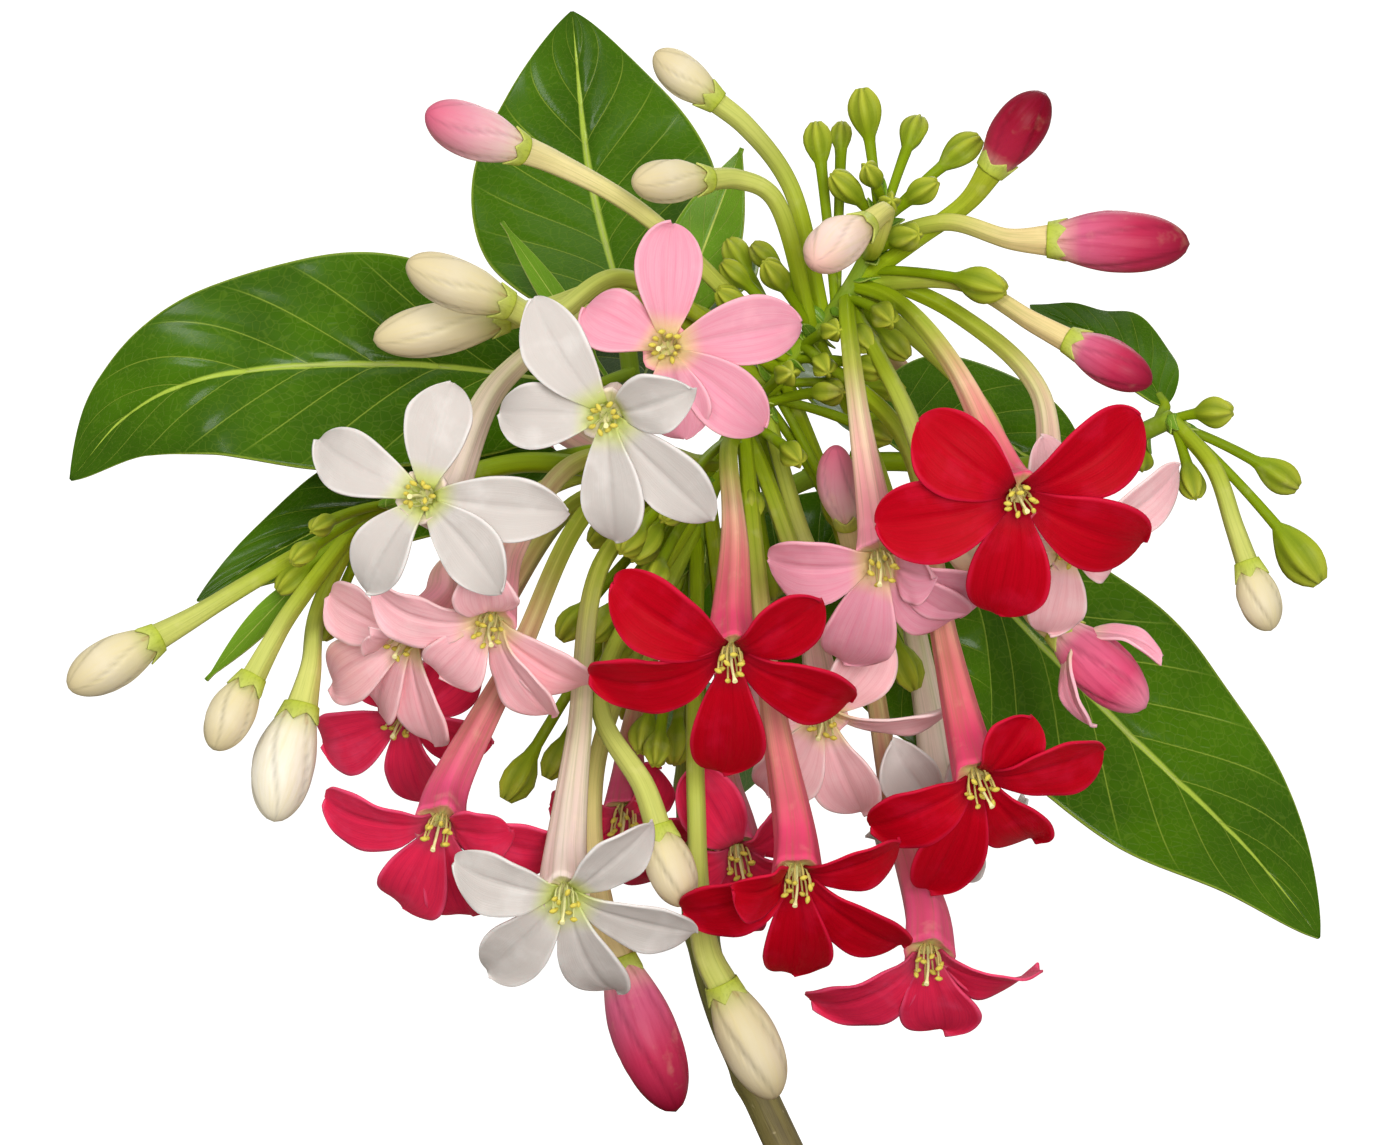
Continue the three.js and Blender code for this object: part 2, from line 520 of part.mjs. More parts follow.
function corolla(bloom) {
  const mouth = seen(bloom.mouth);
  const facing = towards(bloom.facing);
  const pieces = [throat(mouth, facing)];
  for (const place of bloom.tips) {
    const tip = tipOf(place, facing, mouth);
    const out = tip.clone().sub(mouth);
    out.addScaledVector(facing, -out.dot(facing)).normalize();
    const base = mouth.clone().addScaledVector(facing, THROAT_DEPTH * 0.62).addScaledVector(out, PETAL_SEAT);
    const turn = THREE.MathUtils.degToRad(place[3] ?? 0);
    const turned = facing.clone().applyAxisAngle(tip.clone().sub(base).normalize(), turn);
    const surface = petalSurface(base, tip, turned, bloom.width, PETAL_POINT[bloom.colour]);
    pieces.push(blade(surface, PETAL_COLUMNS, PETAL_ROWS, PETAL_THICKNESS));
  }
  for (let i = 0; i < STAMEN_COUNT; i++) pieces.push(stamen(mouth, facing, (i * 2 * Math.PI) / STAMEN_COUNT));
  return joined(pieces);
}

// A flower tube leaves its stalk, bends under its own weight and meets the throat square on.
function bloomTube(bloom, grow) {
  const [root, ...passed] = bloom.tube;
  const mouth = seen(bloom.mouth);
  const curve = new THREE.CatmullRomCurve3([
    onto(CARRIERS.main, root),
    ...passed.map(seen),
    mouth.clone().addScaledVector(towards(bloom.facing), -TUBE_STRAIGHT),
    mouth,
  ]);
  const radius = (share) =>
    TUBE_ROOT_RADIUS + 0.7 * share + TUBE_FLARE * Math.max(0, (share - 0.5) / 0.5) ** 1.6;
  return stalk(curve, radius, TUBE_SIDES, TUBE_STEPS, grow);
}

function budTube(bud, grow) {
  const base = seen(bud.base);
  const heading = seen(bud.tip).sub(base).normalize();
  const curve = new THREE.CatmullRomCurve3([
    onto(CARRIERS[bud.spray ?? "main"], bud.root),
    seen(bud.bend),
    base.clone().addScaledVector(heading, -7),
    base,
  ]);
  const flare = BUD_NECK * bud.width - TUBE_ROOT_RADIUS - 0.4;
  const radius = (share) =>
    TUBE_ROOT_RADIUS + 0.4 * share + flare * Math.max(0, (share - 0.7) / 0.3) ** 1.5;
  return stalk(curve, radius, BUD_TUBE_SIDES, BUD_TUBE_STEPS, grow);
}

// A closed bud swells from the neck of its tube to a blunt tip. One that opens has its outer petals turned back.
function bud({ base, tip, width, petals = [] }) {
  const from = seen(base);
  const axis = seen(tip).sub(from);
  const length = axis.length();
  const profile = [[0, 0], [BUD_NECK, 0], [0.45, 0.24], [0.5, 0.5], [0.42, 0.8], [0.17, 0.98], [0, 1]].map(
    ([radius, height]) => new THREE.Vector2(radius * width, GAP + height * (length - GAP)),
  );
  const geometry = new THREE.LatheGeometry(profile, BUD_SIDES);
  axis.normalize();
  geometry.applyQuaternion(new THREE.Quaternion().setFromUnitVectors(new THREE.Vector3(0, 1, 0), axis));
  geometry.translate(from.x, from.y, from.z);
  const blades = petals.map((petal) => {
    const surface = petalSurface(seen(petal.foot), seen(petal.tip), towards(petal.facing), petal.width, 1);
    return blade(surface, 1, 4, PETAL_THICKNESS);
  });
  return joined([solidOf(geometry), ...blades]);
}

function budlet(carrier, [root, tip, width], grow) {
  const from = onto(carrier, root);
  const to = seen(tip);
  const reach = from.distanceTo(to);
  const middle = from.clone().lerp(to, 0.5);
  middle.z += 0.08 * reach;
  const curve = new THREE.QuadraticBezierCurve3(from, middle, to);
  const egg = Math.min(0.6, (1.7 * width) / reach);
  const radius = (share) => {
    const inEgg = (share - (1 - egg)) / egg;
    const swell = Math.sin(Math.PI * (0.12 + 0.86 * inEgg)) ** 0.7;
    return inEgg <= 0 ? 0.75 : Math.max(0.13 * width, (width / 2) * swell);
  };
  return stalk(curve, radius, BUDLET_SIDES, BUDLET_STEPS, grow);
}

function leaflet([root, tip, width]) {
  const from = seen(root);
  const to = seen(tip);
  const along = to.clone().sub(from);
  const up = new THREE.Vector3(0, -1, 0.2).normalize();
  const aside = new THREE.Vector3().crossVectors(up, along).normalize();
  const surface = (share, across) => {
    const half = Math.max(0.5, (width / 2) * Math.sin(Math.PI * Math.max(0, (share - 0.35) / 0.65) ** 0.8));
    return from.clone().addScaledVector(along, share).addScaledVector(aside, half * across);
  };
  return blade(surface, 2, 6, 1.2);
}

// A leaf blade is egg-shaped with a drawn-out point, arched along its midrib and folded a little along it.
function leafWidth(along) {
  const share = Math.min(1, Math.max(0, along));
  const body = Math.sin(Math.PI * share ** 0.85) ** 0.75;
  return Math.max(0.06, body * (1 - 0.25 * share ** 4));
}

function leaf({ root, rib: places, width, face }) {
  const rib = new THREE.CatmullRomCurve3(places.map(seen));
  const from = seen(places[0]);
  const facing = towards(face);
  const surface = (share, across) => {
    const held = Math.min(1, Math.max(0, share));
    const along = rib.getTangentAt(held);
    const up = facing.clone().addScaledVector(along, -facing.dot(along)).normalize();
    const aside = new THREE.Vector3().crossVectors(up, along);
    const half = (width / 2) * leafWidth(share);
    const lift = 0.16 * half * Math.abs(across) - 0.1 * half * across * across;
    return rib
      .getPointAt(held)
      .addScaledVector(along, (share - held) * width)
      .addScaledVector(aside, half * across)
      .addScaledVector(up, lift);
  };
  const stem = new THREE.CatmullRomCurve3([seen(root), seen(root).lerp(from, 0.5), from, rib.getPointAt(0.08)]);
  return blade(surface, LEAF_COLUMNS, LEAF_ROWS, LEAF_THICKNESS).add(stalk(stem, () => PETIOLE_RADIUS, 4, 2));
}

// The part of the vine between two shares of its length.
function vinePart(from, to, radiusAt, steps, grow) {
  const points = [];
  for (let i = 0; i <= steps; i++) points.push(vine.getPointAt(from + ((to - from) * i) / steps));
  return stalk(new THREE.CatmullRomCurve3(points), radiusAt, STEM_SIDES, steps, grow);
}

function stem(grow = 0) {
  const radius = (share) => STEM_RADIUS_SOIL + (STEM_RADIUS_TOP - STEM_RADIUS_SOIL) * share;
  return vinePart(0, STEM_SHARE, radius, 14, grow);
}

function flowerStalk(grow = 0) {
  const gap = GAP / vine.getLength();
  const radius = (share) => STEM_RADIUS_TOP * (1 - 0.35 * share);
  const pieces = [vinePart(STEM_SHARE + gap, 1, radius, 9, grow)];
  BLOOMS.forEach((bloom) => pieces.push(bloomTube(bloom, grow)));
  BUDS.filter((one) => !one.spray).forEach((one) => pieces.push(budTube(one, grow)));
  BUDLETS.main.forEach((one) => pieces.push(budlet(vine, one, grow)));
  return joined(pieces);
}

function shoot(points, steps, spray, budlets, leaflets, grow = 0) {
  const curve = new THREE.CatmullRomCurve3(points.map(seen));
  const pieces = [stalk(curve, () => SHOOT_RADIUS, STEM_SIDES - 2, steps, grow)];
  BUDS.filter((one) => spray && one.spray === spray).forEach((one) => pieces.push(budTube(one, grow)));
  budlets.forEach((one) => pieces.push(budlet(curve, one, grow)));
  leaflets.forEach((one) => pieces.push(leaflet(one)));
  return joined(pieces);
}

function pot() {
  const inner = POT_NECK_RADIUS - POT_WALL;
  const profile = [
    [0, 0], [POT_FOOT_RADIUS - 2, 0], [POT_FOOT_RADIUS, 2], [POT_NECK_RADIUS, POT_NECK_HEIGHT],
    [POT_RIM_RADIUS - 3, POT_NECK_HEIGHT + 1], [POT_RIM_RADIUS, POT_HEIGHT - 3], [POT_RIM_RADIUS - 1, POT_HEIGHT],
    [POT_RIM_RADIUS - 4.5, POT_HEIGHT], [POT_RIM_RADIUS - POT_WALL - 1, POT_HEIGHT - 3],
    [inner + 1, POT_NECK_HEIGHT + 2], [POT_FOOT_RADIUS - POT_WALL, POT_WALL + 1], [0, POT_WALL + 1],
  ].map(([radius, height]) => new THREE.Vector2(radius, height));
  const shell = new THREE.LatheGeometry(profile, POT_SIDES);
  shell.rotateX(Math.PI / 2);
  let solid = solidOf(shell);
  for (let i = 0; i < DRAIN_COUNT; i++) {
    const turn = Math.PI / 2 + (i * 2 * Math.PI) / DRAIN_COUNT;
    const drain = new THREE.CylinderGeometry(DRAIN_RADIUS, DRAIN_RADIUS, 4 * POT_WALL, 12);
    drain.rotateX(Math.PI / 2);
    drain.translate(DRAIN_CIRCLE * Math.cos(turn), DRAIN_CIRCLE * Math.sin(turn), 0);
    solid = solid.subtract(solidOf(drain));
  }
  return solid;
}

// The soil's inner edge follows the pot's wall, and its top is lumpy.
function soil() {
  const low = POT_WALL + 1 + GAP;
  const wallAt = (height) => {
    const share = (height - POT_WALL - 1) / (POT_NECK_HEIGHT + 1 - POT_WALL);
    const foot = POT_FOOT_RADIUS - POT_WALL;
    return foot + (POT_NECK_RADIUS - POT_WALL + 1 - foot) * share - SOIL_WALL_GAP;
  };
  const shoulder = POT_NECK_HEIGHT - 1;
  const edge = wallAt(shoulder);
  const profile = [[0, low], [wallAt(low), low], [edge, shoulder], [edge + 0.5, SOIL_TOP - 1.5]];
  for (const share of [0.78, 0.52, 0.26]) profile.push([edge * share, SOIL_TOP]);
  profile.push([0, SOIL_TOP]);
  const geometry = new THREE.LatheGeometry(profile.map(([r, h]) => new THREE.Vector2(r, h)), SOIL_SIDES);
  geometry.rotateX(Math.PI / 2);
  const position = geometry.getAttribute("position");
  for (let i = 0; i < position.count; i++) {
    const [x, y, z] = [position.getX(i), position.getY(i), position.getZ(i)];
    if (z > SOIL_TOP - 0.5) {
      const lump = Math.sin(x * 0.31 + 1) * Math.cos(y * 0.27) + 0.6 * Math.sin(x * 0.12 - y * 0.5);
      position.setZ(i, z + SOIL_LUMP * lump);
    }
  }
  return solidOf(geometry).subtract(stem(GAP));
}

const plant = new THREE.Group();
plant.add(meshOf("pot", pot(), 0xb5623c, 0.85));
plant.add(meshOf("soil", soil(), 0x3b2a1e, 1));
plant.add(meshOf("vine_stem", stem(), 0x7c7a3c, 0.7));

const fatVine = stem(GAP).add(flowerStalk(GAP));
const leftShoot = largest(shoot(SHOOTS.left, 6, null, [], LEAFLETS.left).subtract(fatVine));
const rightShoot = largest(shoot(SHOOTS.right, 9, "right", BUDLETS.right, []).subtract(fatVine));
const leftSpray = largest(
  shoot(SHOOTS.spray, 6, "left", BUDLETS.left, LEAFLETS.spray).subtract(flowerStalk(GAP)),
);
plant.add(meshOf("flower_stalk", largest(flowerStalk()), 0x7f8f22, 0.6));
plant.add(meshOf("shoot_left", leftShoot, 0x7c9a2a, 0.6));
plant.add(meshOf("shoot_right", rightShoot, 0x7c9a2a, 0.6));
plant.add(meshOf("bud_spray_left", leftSpray, 0x8f9c26, 0.6));

for (const bloom of BLOOMS) {
  plant.add(meshOf(bloom.name, corolla(bloom), COLOURS[bloom.colour], 0.5, seen(bloom.mouth)));
}
for (const one of BUDS) {
  plant.add(meshOf(one.name, bud(one), COLOURS[one.colour], 0.5, seen(one.base)));
}
const fatGreen = fatVine
  .add(shoot(SHOOTS.left, 6, null, [], [], GAP))
  .add(shoot(SHOOTS.right, 9, "right", BUDLETS.right, [], GAP));
for (const one of LEAVES) {
  plant.add(meshOf(one.name, largest(leaf(one).subtract(fatGreen)), 0x3f7a12, 0.4, seen(one.rib[0])));
}

export default plant;
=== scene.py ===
"""A young rangoon creeper in a plain clay pot, dressed over its solid parts.

It adds streaked petals, veined leaves, ridged flower tubes, stamens, soil crumbs and fired clay.
Metres, +Z up, and the flower head faces -Y.
"""
import math
import random

import bmesh
import bpy
from mathutils import Matrix, Quaternion, Vector, noise


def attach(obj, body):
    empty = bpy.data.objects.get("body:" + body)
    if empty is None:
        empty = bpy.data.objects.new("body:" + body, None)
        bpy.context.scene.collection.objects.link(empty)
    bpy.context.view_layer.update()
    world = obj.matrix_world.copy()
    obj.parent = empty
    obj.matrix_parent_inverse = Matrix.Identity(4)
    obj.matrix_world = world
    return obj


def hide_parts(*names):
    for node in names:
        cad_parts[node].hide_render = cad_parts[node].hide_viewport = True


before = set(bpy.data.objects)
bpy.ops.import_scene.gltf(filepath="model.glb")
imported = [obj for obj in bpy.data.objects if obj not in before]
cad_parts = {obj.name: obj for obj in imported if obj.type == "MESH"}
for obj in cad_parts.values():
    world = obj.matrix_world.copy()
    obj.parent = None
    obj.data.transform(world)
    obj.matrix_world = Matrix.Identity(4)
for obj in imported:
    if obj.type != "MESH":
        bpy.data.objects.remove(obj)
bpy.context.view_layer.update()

bl_info = {
    "name": "Potted rangoon creeper",
    "version": (1, 0, 0),
    "blender": (4, 5, 0),
    "location": "3D View > Sidebar > Creeper",
    "description": "Builds a flowering rangoon creeper in a clay pot",
    "category": "Add Mesh",
}

MM = 0.001
UP = Vector((0, 0, 1))

# Points of a sheet that are closer than this, in metres, are joined
WELD = 2e-6

# Places in the plant are read off its front view. Each is (across, down, forward): across and down are
# steps of GRID mm from the view's top left corner, and forward is mm towards the viewer from the plane of
# the flower head.
GRID = 0.16
VIEW_CENTRE = (687, 572.5)
VIEW_SIZE = (1374, 1145)
VIEW_DISTANCE = 1000
VIEW_HEIGHT = 222
HEAD_PLANE_Y = -18
SENSOR = 36

# Sizes in mm, and shares, that the solid parts use too
PETAL_ARCH = 0.1
PETAL_CUP = 0.16
PETAL_OVERLAP = 0.9
PETAL_REFLEX = 1.5
THROAT_DEPTH = 2.2
PETAL_POINT = {"red": 0.2, "rose": 0.2, "pink": 0.5, "blush": 0.6, "white": 1}
BUD_NECK = 0.27
TUBE_ROOT_RADIUS = 1.2
TUBE_FLARE = 2.1
TUBE_STRAIGHT = 8
STEM_RADIUS_SOIL = 3.4
STEM_RADIUS_TOP = 2.2
STEM_SHARE = 0.6
SHOOT_RADIUS = 1.7
PETIOLE_RADIUS = 1.1
SOIL_TOP = 103
SOIL_LUMP = 1.6

# Further sizes of the looks, in mm
TUBE_LIP = 1.2
STYLE_FOOT = 1.5
BUD_NECK_RUN = 7
SOIL_EDGE = SOIL_TOP - 1.5
CRUMB_CIRCLE = 49
SEPAL_THICKNESS = 0.3
OUTER_PETAL_THICKNESS = 0.5
BRACT_THICKNESS = 0.3

# Counts
STAMENS = 10
RIDGES = 5
CAP_ROWS = 4

# Side veins: how many there are, and how they sweep forward on their way to the margin
SIDE_VEINS = 9.0
VEIN_SWEEP = 4.2
VEIN_BEND = 0.8
VEIN_START = 5.0

# A flower's tips are those of its petals: a third number brings one forward in mm, a fourth turns it in
# degrees. Directions are (right, up, towards the viewer), and widths are in mm.
BLOOMS = [
    dict(name="red_centre", colour="red", width=11.6, facing=(0, -0.58, 0.81), mouth=(731, 652, 53),
         tube=[(728, 440, 0), (728, 458, 18), (734, 545, 40)],
         tips=[(612, 592), (822, 608), (852, 712), (722, 778), (589, 684, 0, -18)]),
    dict(name="red_right", colour="red", width=12.5, facing=(0.1, -0.3, 0.95), mouth=(1018, 495, 53),
         tube=[(866, 285, 0), (895, 300, 8), (958, 372, 30)],
         tips=[(920, 425), (1142, 418), (1148, 548), (1000, 620), (877, 527)]),
    dict(name="red_low", colour="red", width=10.8, facing=(0.02, -0.68, 0.73), mouth=(797, 872, 40),
         tube=[(745, 430, 0), (756, 560, 16), (774, 715, 30)],
         tips=[(738, 903, 15), (902, 853), (903, 953), (793, 980), (683, 920)]),
    dict(name="red_low_right", colour="red", width=10.8, facing=(0.15, -0.62, 0.77), mouth=(978, 776, 36),
         tube=[(800, 350, 0), (905, 440, 14), (945, 640, 22)],
         tips=[(1032, 722), (1106, 755), (1035, 848), (930, 895), (872, 835)]),
    dict(name="rose_low_right", colour="rose", width=13, facing=(0, -0.64, 0.77), mouth=(928, 952, 24),
         tube=[(780, 372, 0), (850, 560, -12), (893, 800, -4)],
         tips=[(812, 1014, 0, -24), (915, 990, -16), (942, 990, -16), (1040, 984, 0, 20), (943, 1037)]),
    dict(name="rose_left", colour="rose", width=11.2, facing=(-0.1, -0.55, 0.83), mouth=(440, 822, 30),
         tube=[(700, 500, 0), (600, 500, 2), (515, 660, 14)],
         tips=[(322, 808, 0, -25), (505, 842, 8), (560, 862), (470, 928), (400, 916)]),
    dict(name="rose_back_left", colour="rose", width=10.8, facing=(-0.3, -0.5, 0.81), mouth=(405, 712, 0),
         tube=[(700, 490, 0), (578, 502, -12), (490, 620, -13)],
         tips=[(316, 752), (425, 808), (490, 748), (470, 662, -3), (362, 640, -3)]),
    dict(name="rose_low_mid", colour="rose", width=10.3, facing=(0.1, -0.66, 0.75), mouth=(738, 850, 6),
         tube=[(704, 500, -4), (722, 620, -10), (724, 760, -12)],
         tips=[(731, 944), (655, 878), (690, 778), (798, 820), (816, 880)]),
    dict(name="rose_mid_back", colour="rose", width=9.9, facing=(-0.05, -0.7, 0.71), mouth=(625, 812, 2),
         tube=[(690, 560, -8), (655, 640, -10), (632, 730, -10)],
         tips=[(548, 816), (662, 776, -6), (700, 836), (664, 890), (590, 880)]),
    dict(name="pink_top", colour="pink", width=10.3, facing=(-0.05, 0.05, 1), mouth=(667, 348, 48),
         tube=[(745, 400, 0), (690, 366, 22)],
         tips=[(672, 221), (801, 322), (765, 428), (684, 438), (583, 305)]),
    dict(name="pink_left", colour="pink", width=10.3, facing=(-0.1, -0.5, 0.86), mouth=(490, 620, 38),
         tube=[(715, 470, 0), (575, 464, 12), (512, 550, 20)],
         tips=[(368, 597, 0, -25), (480, 578, 10), (589, 692), (552, 720, 0, 25), (436, 684)]),
    dict(name="pink_far_left", colour="pink", width=9.9, facing=(-0.5, -0.5, 0.7), mouth=(412, 632, 24),
         tube=[(710, 480, 0), (560, 482, 0), (450, 570, 6)],
         tips=[(324, 600), (366, 644, 15), (328, 688), (374, 716), (430, 750)]),
    dict(name="pink_mid_right", colour="pink", width=11.2, facing=(0.05, -0.55, 0.83), mouth=(880, 558, 38),
         tube=[(842, 305, 0), (848, 330, 12), (862, 440, 32)],
         tips=[(768, 567), (936, 583, 8), (997, 600), (962, 628), (843, 672)]),
    dict(name="blush_low", colour="blush", width=10.8, facing=(0, -0.5, 0.86), mouth=(822, 714, 14),
         tube=[(742, 430, 0), (770, 490, 0), (803, 590, 2)],
         tips=[(886, 640), (966, 705, 0, 35), (862, 816), (768, 800), (750, 690)]),
    dict(name="blush_right", colour="blush", width=9, facing=(0.25, -0.35, 0.9), mouth=(1066, 545, 18),
         tube=[(870, 280, 0), (955, 312, 0), (1040, 392, 4)],
         tips=[(1186, 470), (1125, 560), (1052, 640), (970, 560), (1045, 440)]),
    dict(name="white_centre", colour="white", width=9.9, facing=(-0.12, -0.2, 0.97), mouth=(607, 414, 62),
         tube=[(720, 470, 0), (690, 462, 14), (640, 440, 34)],
         tips=[(530, 300), (688, 392, 8), (712, 522), (613, 547), (495, 416)]),
    dict(name="white_left", colour="white", width=9.9, facing=(-0.25, 0.1, 0.96), mouth=(425, 497, 52),
         tube=[(790, 360, 0), (640, 300, 10), (500, 382, 28)],
         tips=[(450, 382), (565, 510), (497, 592), (360, 592), (312, 437)]),
    dict(name="white_low", colour="white", width=9.9, facing=(0, -0.6, 0.8), mouth=(565, 892, 43),
         tube=[(704, 495, 0), (604, 560, 12), (579, 740, 24)],
         tips=[(452, 873), (652, 833), (697, 938), (617, 1002), (488, 978)]),
    dict(name="white_back_right", colour="white", width=9.5, facing=(0.1, -0.7, 0.7), mouth=(945, 806, 0),
         tube=[(812, 338, 0), (880, 480, -10), (925, 690, -12)],
         tips=[(876, 850, -7), (893, 748), (990, 742), (1030, 812), (962, 880)]),
    dict(name="rose_back_high", colour="rose", width=10.3, facing=(0.3, -0.4, -0.86),
         mouth=(1000, 505, -68), tube=[(852, 290, 0), (866, 318, -28), (925, 405, -58)],
         tips=[(1010, 430), (1085, 480), (1050, 590), (950, 595), (910, 500)]),
    dict(name="pink_back", colour="pink", width=10.3, facing=(-0.4, -0.1, -0.9), mouth=(478, 392, -66),
         tube=[(712, 470, 0), (702, 478, -30), (600, 452, -52)],
         tips=[(480, 290), (562, 352), (548, 470), (412, 480), (375, 365)]),
]

# A large bud reaches from its base to its tip, on a tube that leaves its carrier at the root and bends once
BUDS = [
    dict(name="bud_pink_up_left", colour="pink", width=8.6, base=(517, 148, 14), tip=(427, 112, 22),
         root=(750, 320, -2), bend=(640, 212, 8)),
    dict(name="bud_cream_top", colour="cream", width=6.6, base=(712, 98, 2), tip=(655, 52, 4),
         root=(795, 300, 1), bend=(790, 185, -4)),
    dict(name="bud_cream_mid", colour="cream", width=7, base=(703, 180, 12), tip=(634, 182, 20),
         root=(790, 305, 2), bend=(772, 195, 6)),
    dict(name="bud_cream_left_up", colour="cream", width=8, base=(503, 303, 30), tip=(407, 262, 36),
         root=(735, 335, 2), bend=(620, 278, 16)),
    dict(name="bud_cream_left_low", colour="cream", width=8.4, base=(500, 318, 16), tip=(373, 340, 20),
         root=(720, 350, -2), bend=(620, 290, 8)),
    dict(name="bud_hub_front", colour="blush", width=8, base=(862, 228, 24), tip=(814, 262, 35),
         root=(868, 262, 2), bend=(876, 245, 12)),
    dict(name="bud_red_top", colour="red", width=8.4, base=(994, 165, 8), tip=(1046, 93, 12),
         root=(862, 290, 1), bend=(918, 238, 4)),
    dict(name="bud_rose_right", colour="rose", width=9.8, base=(1055, 240, 12), tip=(1190, 244, 14),
         root=(872, 240, 2), bend=(950, 222, 8)),
    dict(name="bud_pink_right", colour="rose", width=7.4, base=(1074, 343, 16), tip=(1152, 384, 20),
         root=(866, 284, 0), bend=(960, 282, 6)),
    dict(name="bud_half_open", colour="rose", width=9.6, base=(1062, 632, 2), tip=(1146, 708, 6),
         root=(872, 286, 1), bend=(990, 420, -8),
         petals=[
             dict(foot=(1078, 634, 4), tip=(1163, 652, 8), facing=(0.6, 0.75, 0.28), width=4),
             dict(foot=(1068, 644, 6), tip=(1088, 727, 8), facing=(-0.75, -0.35, 0.8), width=5.4),
         ]),
    dict(name="bud_behind_red", colour="cream", width=7, base=(948, 508, 30), tip=(985, 580, 33),
         root=(845, 300, 0), bend=(905, 410, 20)),
    dict(name="bud_pink_mid", colour="pink", width=6.4, base=(846, 520, 12), tip=(836, 446, 20),
         root=(770, 400, -2), bend=(815, 560, -2)),
    dict(name="bud_left_far", colour="cream", width=8.2, spray="left", base=(152, 641, 14),
         tip=(68, 688, 18), root=(362, 512, 6), bend=(252, 582, 10)),
    dict(name="bud_left_mid", colour="cream", width=7.4, spray="left", base=(250, 682, 20),
         tip=(213, 750, 22), root=(358, 520, 6), bend=(290, 612, 14)),
    dict(name="bud_left_near", colour="white", width=9.8, spray="left", base=(300, 712, 16),
         tip=(274, 822, 20), root=(360, 528, 6), bend=(318, 610, 6)),
    dict(name="bud_low_rose", colour="rose", width=10.4, base=(620, 965, 19), tip=(676, 1112, 20),
         root=(655, 520, -4), bend=(597, 760, 8)),
    dict(name="bud_low_cream", colour="cream", width=9.4, base=(724, 989, 14), tip=(775, 1099, 12),
         root=(690, 545, -4), bend=(696, 800, 22)),
    dict(name="bud_low_mid", colour="cream", width=7.6, base=(660, 832, 30), tip=(685, 907, 31),
         root=(660, 500, 0), bend=(600, 700, 20)),
    dict(name="bud_right_cream", colour="cream", width=6.8, spray="right", base=(1249, 568, 4),
         tip=(1271, 631, 5), root=(1168, 420, -6), bend=(1215, 470, 2)),
]

# Small green buds on each carrier, as (root, tip, width)
BUDLETS = {
    "main": [
        ((884, 222, 2), (862, 88, 4), 4.8), ((886, 215, -2), (920, 117, -6), 4),
        ((800, 282, -2), (816, 122, -4), 4.2), ((802, 280, -5), (842, 122, -9), 3.2),
        ((885, 225, 0), (981, 138, 2), 4.6), ((882, 232, 4), (937, 182, 8), 3.8),
        ((878, 225, 2), (832, 174, 6), 4.2), ((884, 218, 5), (866, 165, 10), 3.4),
        ((880, 225, 8), (892, 200, 14), 3.2), ((872, 262, 5), (918, 234, 12), 4.2),
        ((866, 284, 5), (1005, 291, 13), 5.2), ((858, 305, 0), (908, 358, 2), 4),
        ((846, 318, 2), (872, 350, 10), 4), ((745, 320, -4), (728, 240, -8), 4),
        ((770, 320, -3), (722, 262, 2), 3.6), ((770, 345, 0), (718, 290, 6), 4),
        ((790, 345, 6), (828, 372, 14), 3.6), ((760, 400, 6), (792, 372, 14), 3.8),
        ((700, 480, 6), (634, 560, 12), 5), ((705, 470, 8), (664, 520, 16), 4.4),
        ((690, 500, 2), (592, 640, 10), 4.4), ((676, 505, 0), (610, 660, 6), 4.6),
        ((640, 510, -4), (505, 800, -4), 5.2), ((650, 510, -6), (546, 778, -8), 4.4),
        ((712, 465, 4), (622, 552, 24), 4.4), ((724, 452, 6), (676, 498, 26), 4),
        ((735, 440, 4), (800, 462, 16), 3.8), ((756, 408, 2), (842, 392, 14), 4),
        ((790, 360, 4), (885, 372, 12), 3.8), ((812, 336, 0), (765, 262, 8), 4),
        ((828, 318, -2), (752, 244, -2), 3.6), ((840, 305, 4), (892, 322, 16), 4),
        ((704, 500, 0), (648, 590, 22), 4.6), ((770, 385, 0), (905, 392, -4), 3.4),
        ((765, 395, -2), (892, 440, 2), 3.6), ((760, 400, -4), (842, 526, -10), 3.8),
        ((752, 410, -4), (800, 560, -16), 4), ((745, 420, -6), (772, 600, -14), 4),
        ((715, 460, -4), (612, 500, 0), 4), ((712, 465, -6), (590, 545, -4), 4.2),
        ((706, 480, -4), (560, 640, -8), 4.4), ((700, 495, -6), (575, 700, -12), 4.6),
        ((696, 510, -8), (625, 720, -16), 4.4), ((800, 352, 3), (838, 330, 14), 3.4),
        ((735, 432, 4), (752, 520, 10), 3.8), ((690, 575, -13), (640, 752, 14), 4.4),
        ((690, 590, -14), (674, 764, 2), 4.4), ((690, 560, -12), (655, 765, 18), 4),
        ((850, 440, -6), (915, 690, -6), 4.8), ((690, 560, -6), (708, 852, -4), 4.6),
    ],
    "left": [
        ((400, 500, 4), (278, 592, 10), 4), ((395, 497, 6), (292, 562, 20), 3.4),
        ((390, 495, 5), (312, 530, 22), 3.2), ((380, 505, 2), (322, 640, 2), 3.6),
    ],
    "right": [
        ((1160, 420, -5), (1232, 412, -2), 4.6), ((1165, 420, -8), (1298, 488, -10), 4.8),
        ((1160, 422, -4), (1196, 498, 2), 4), ((1130, 425, -8), (1142, 470, -16), 3.4),
        ((1168, 420, -7), (1321, 582, -2), 6.6),
    ],
}

# The stem from the soil up to the crown of the head
VINE_POINTS = [
    (868, 1372, -22), (852, 1290, -26), (806, 1195, -28), (757, 1090, -28), (718, 1000, -28),
    (696, 900, -26), (690, 760, -22), (690, 620, -16), (704, 500, -8), (745, 420, -3), (800, 350, -1),
    (852, 290, 0), (886, 210, 2),
]

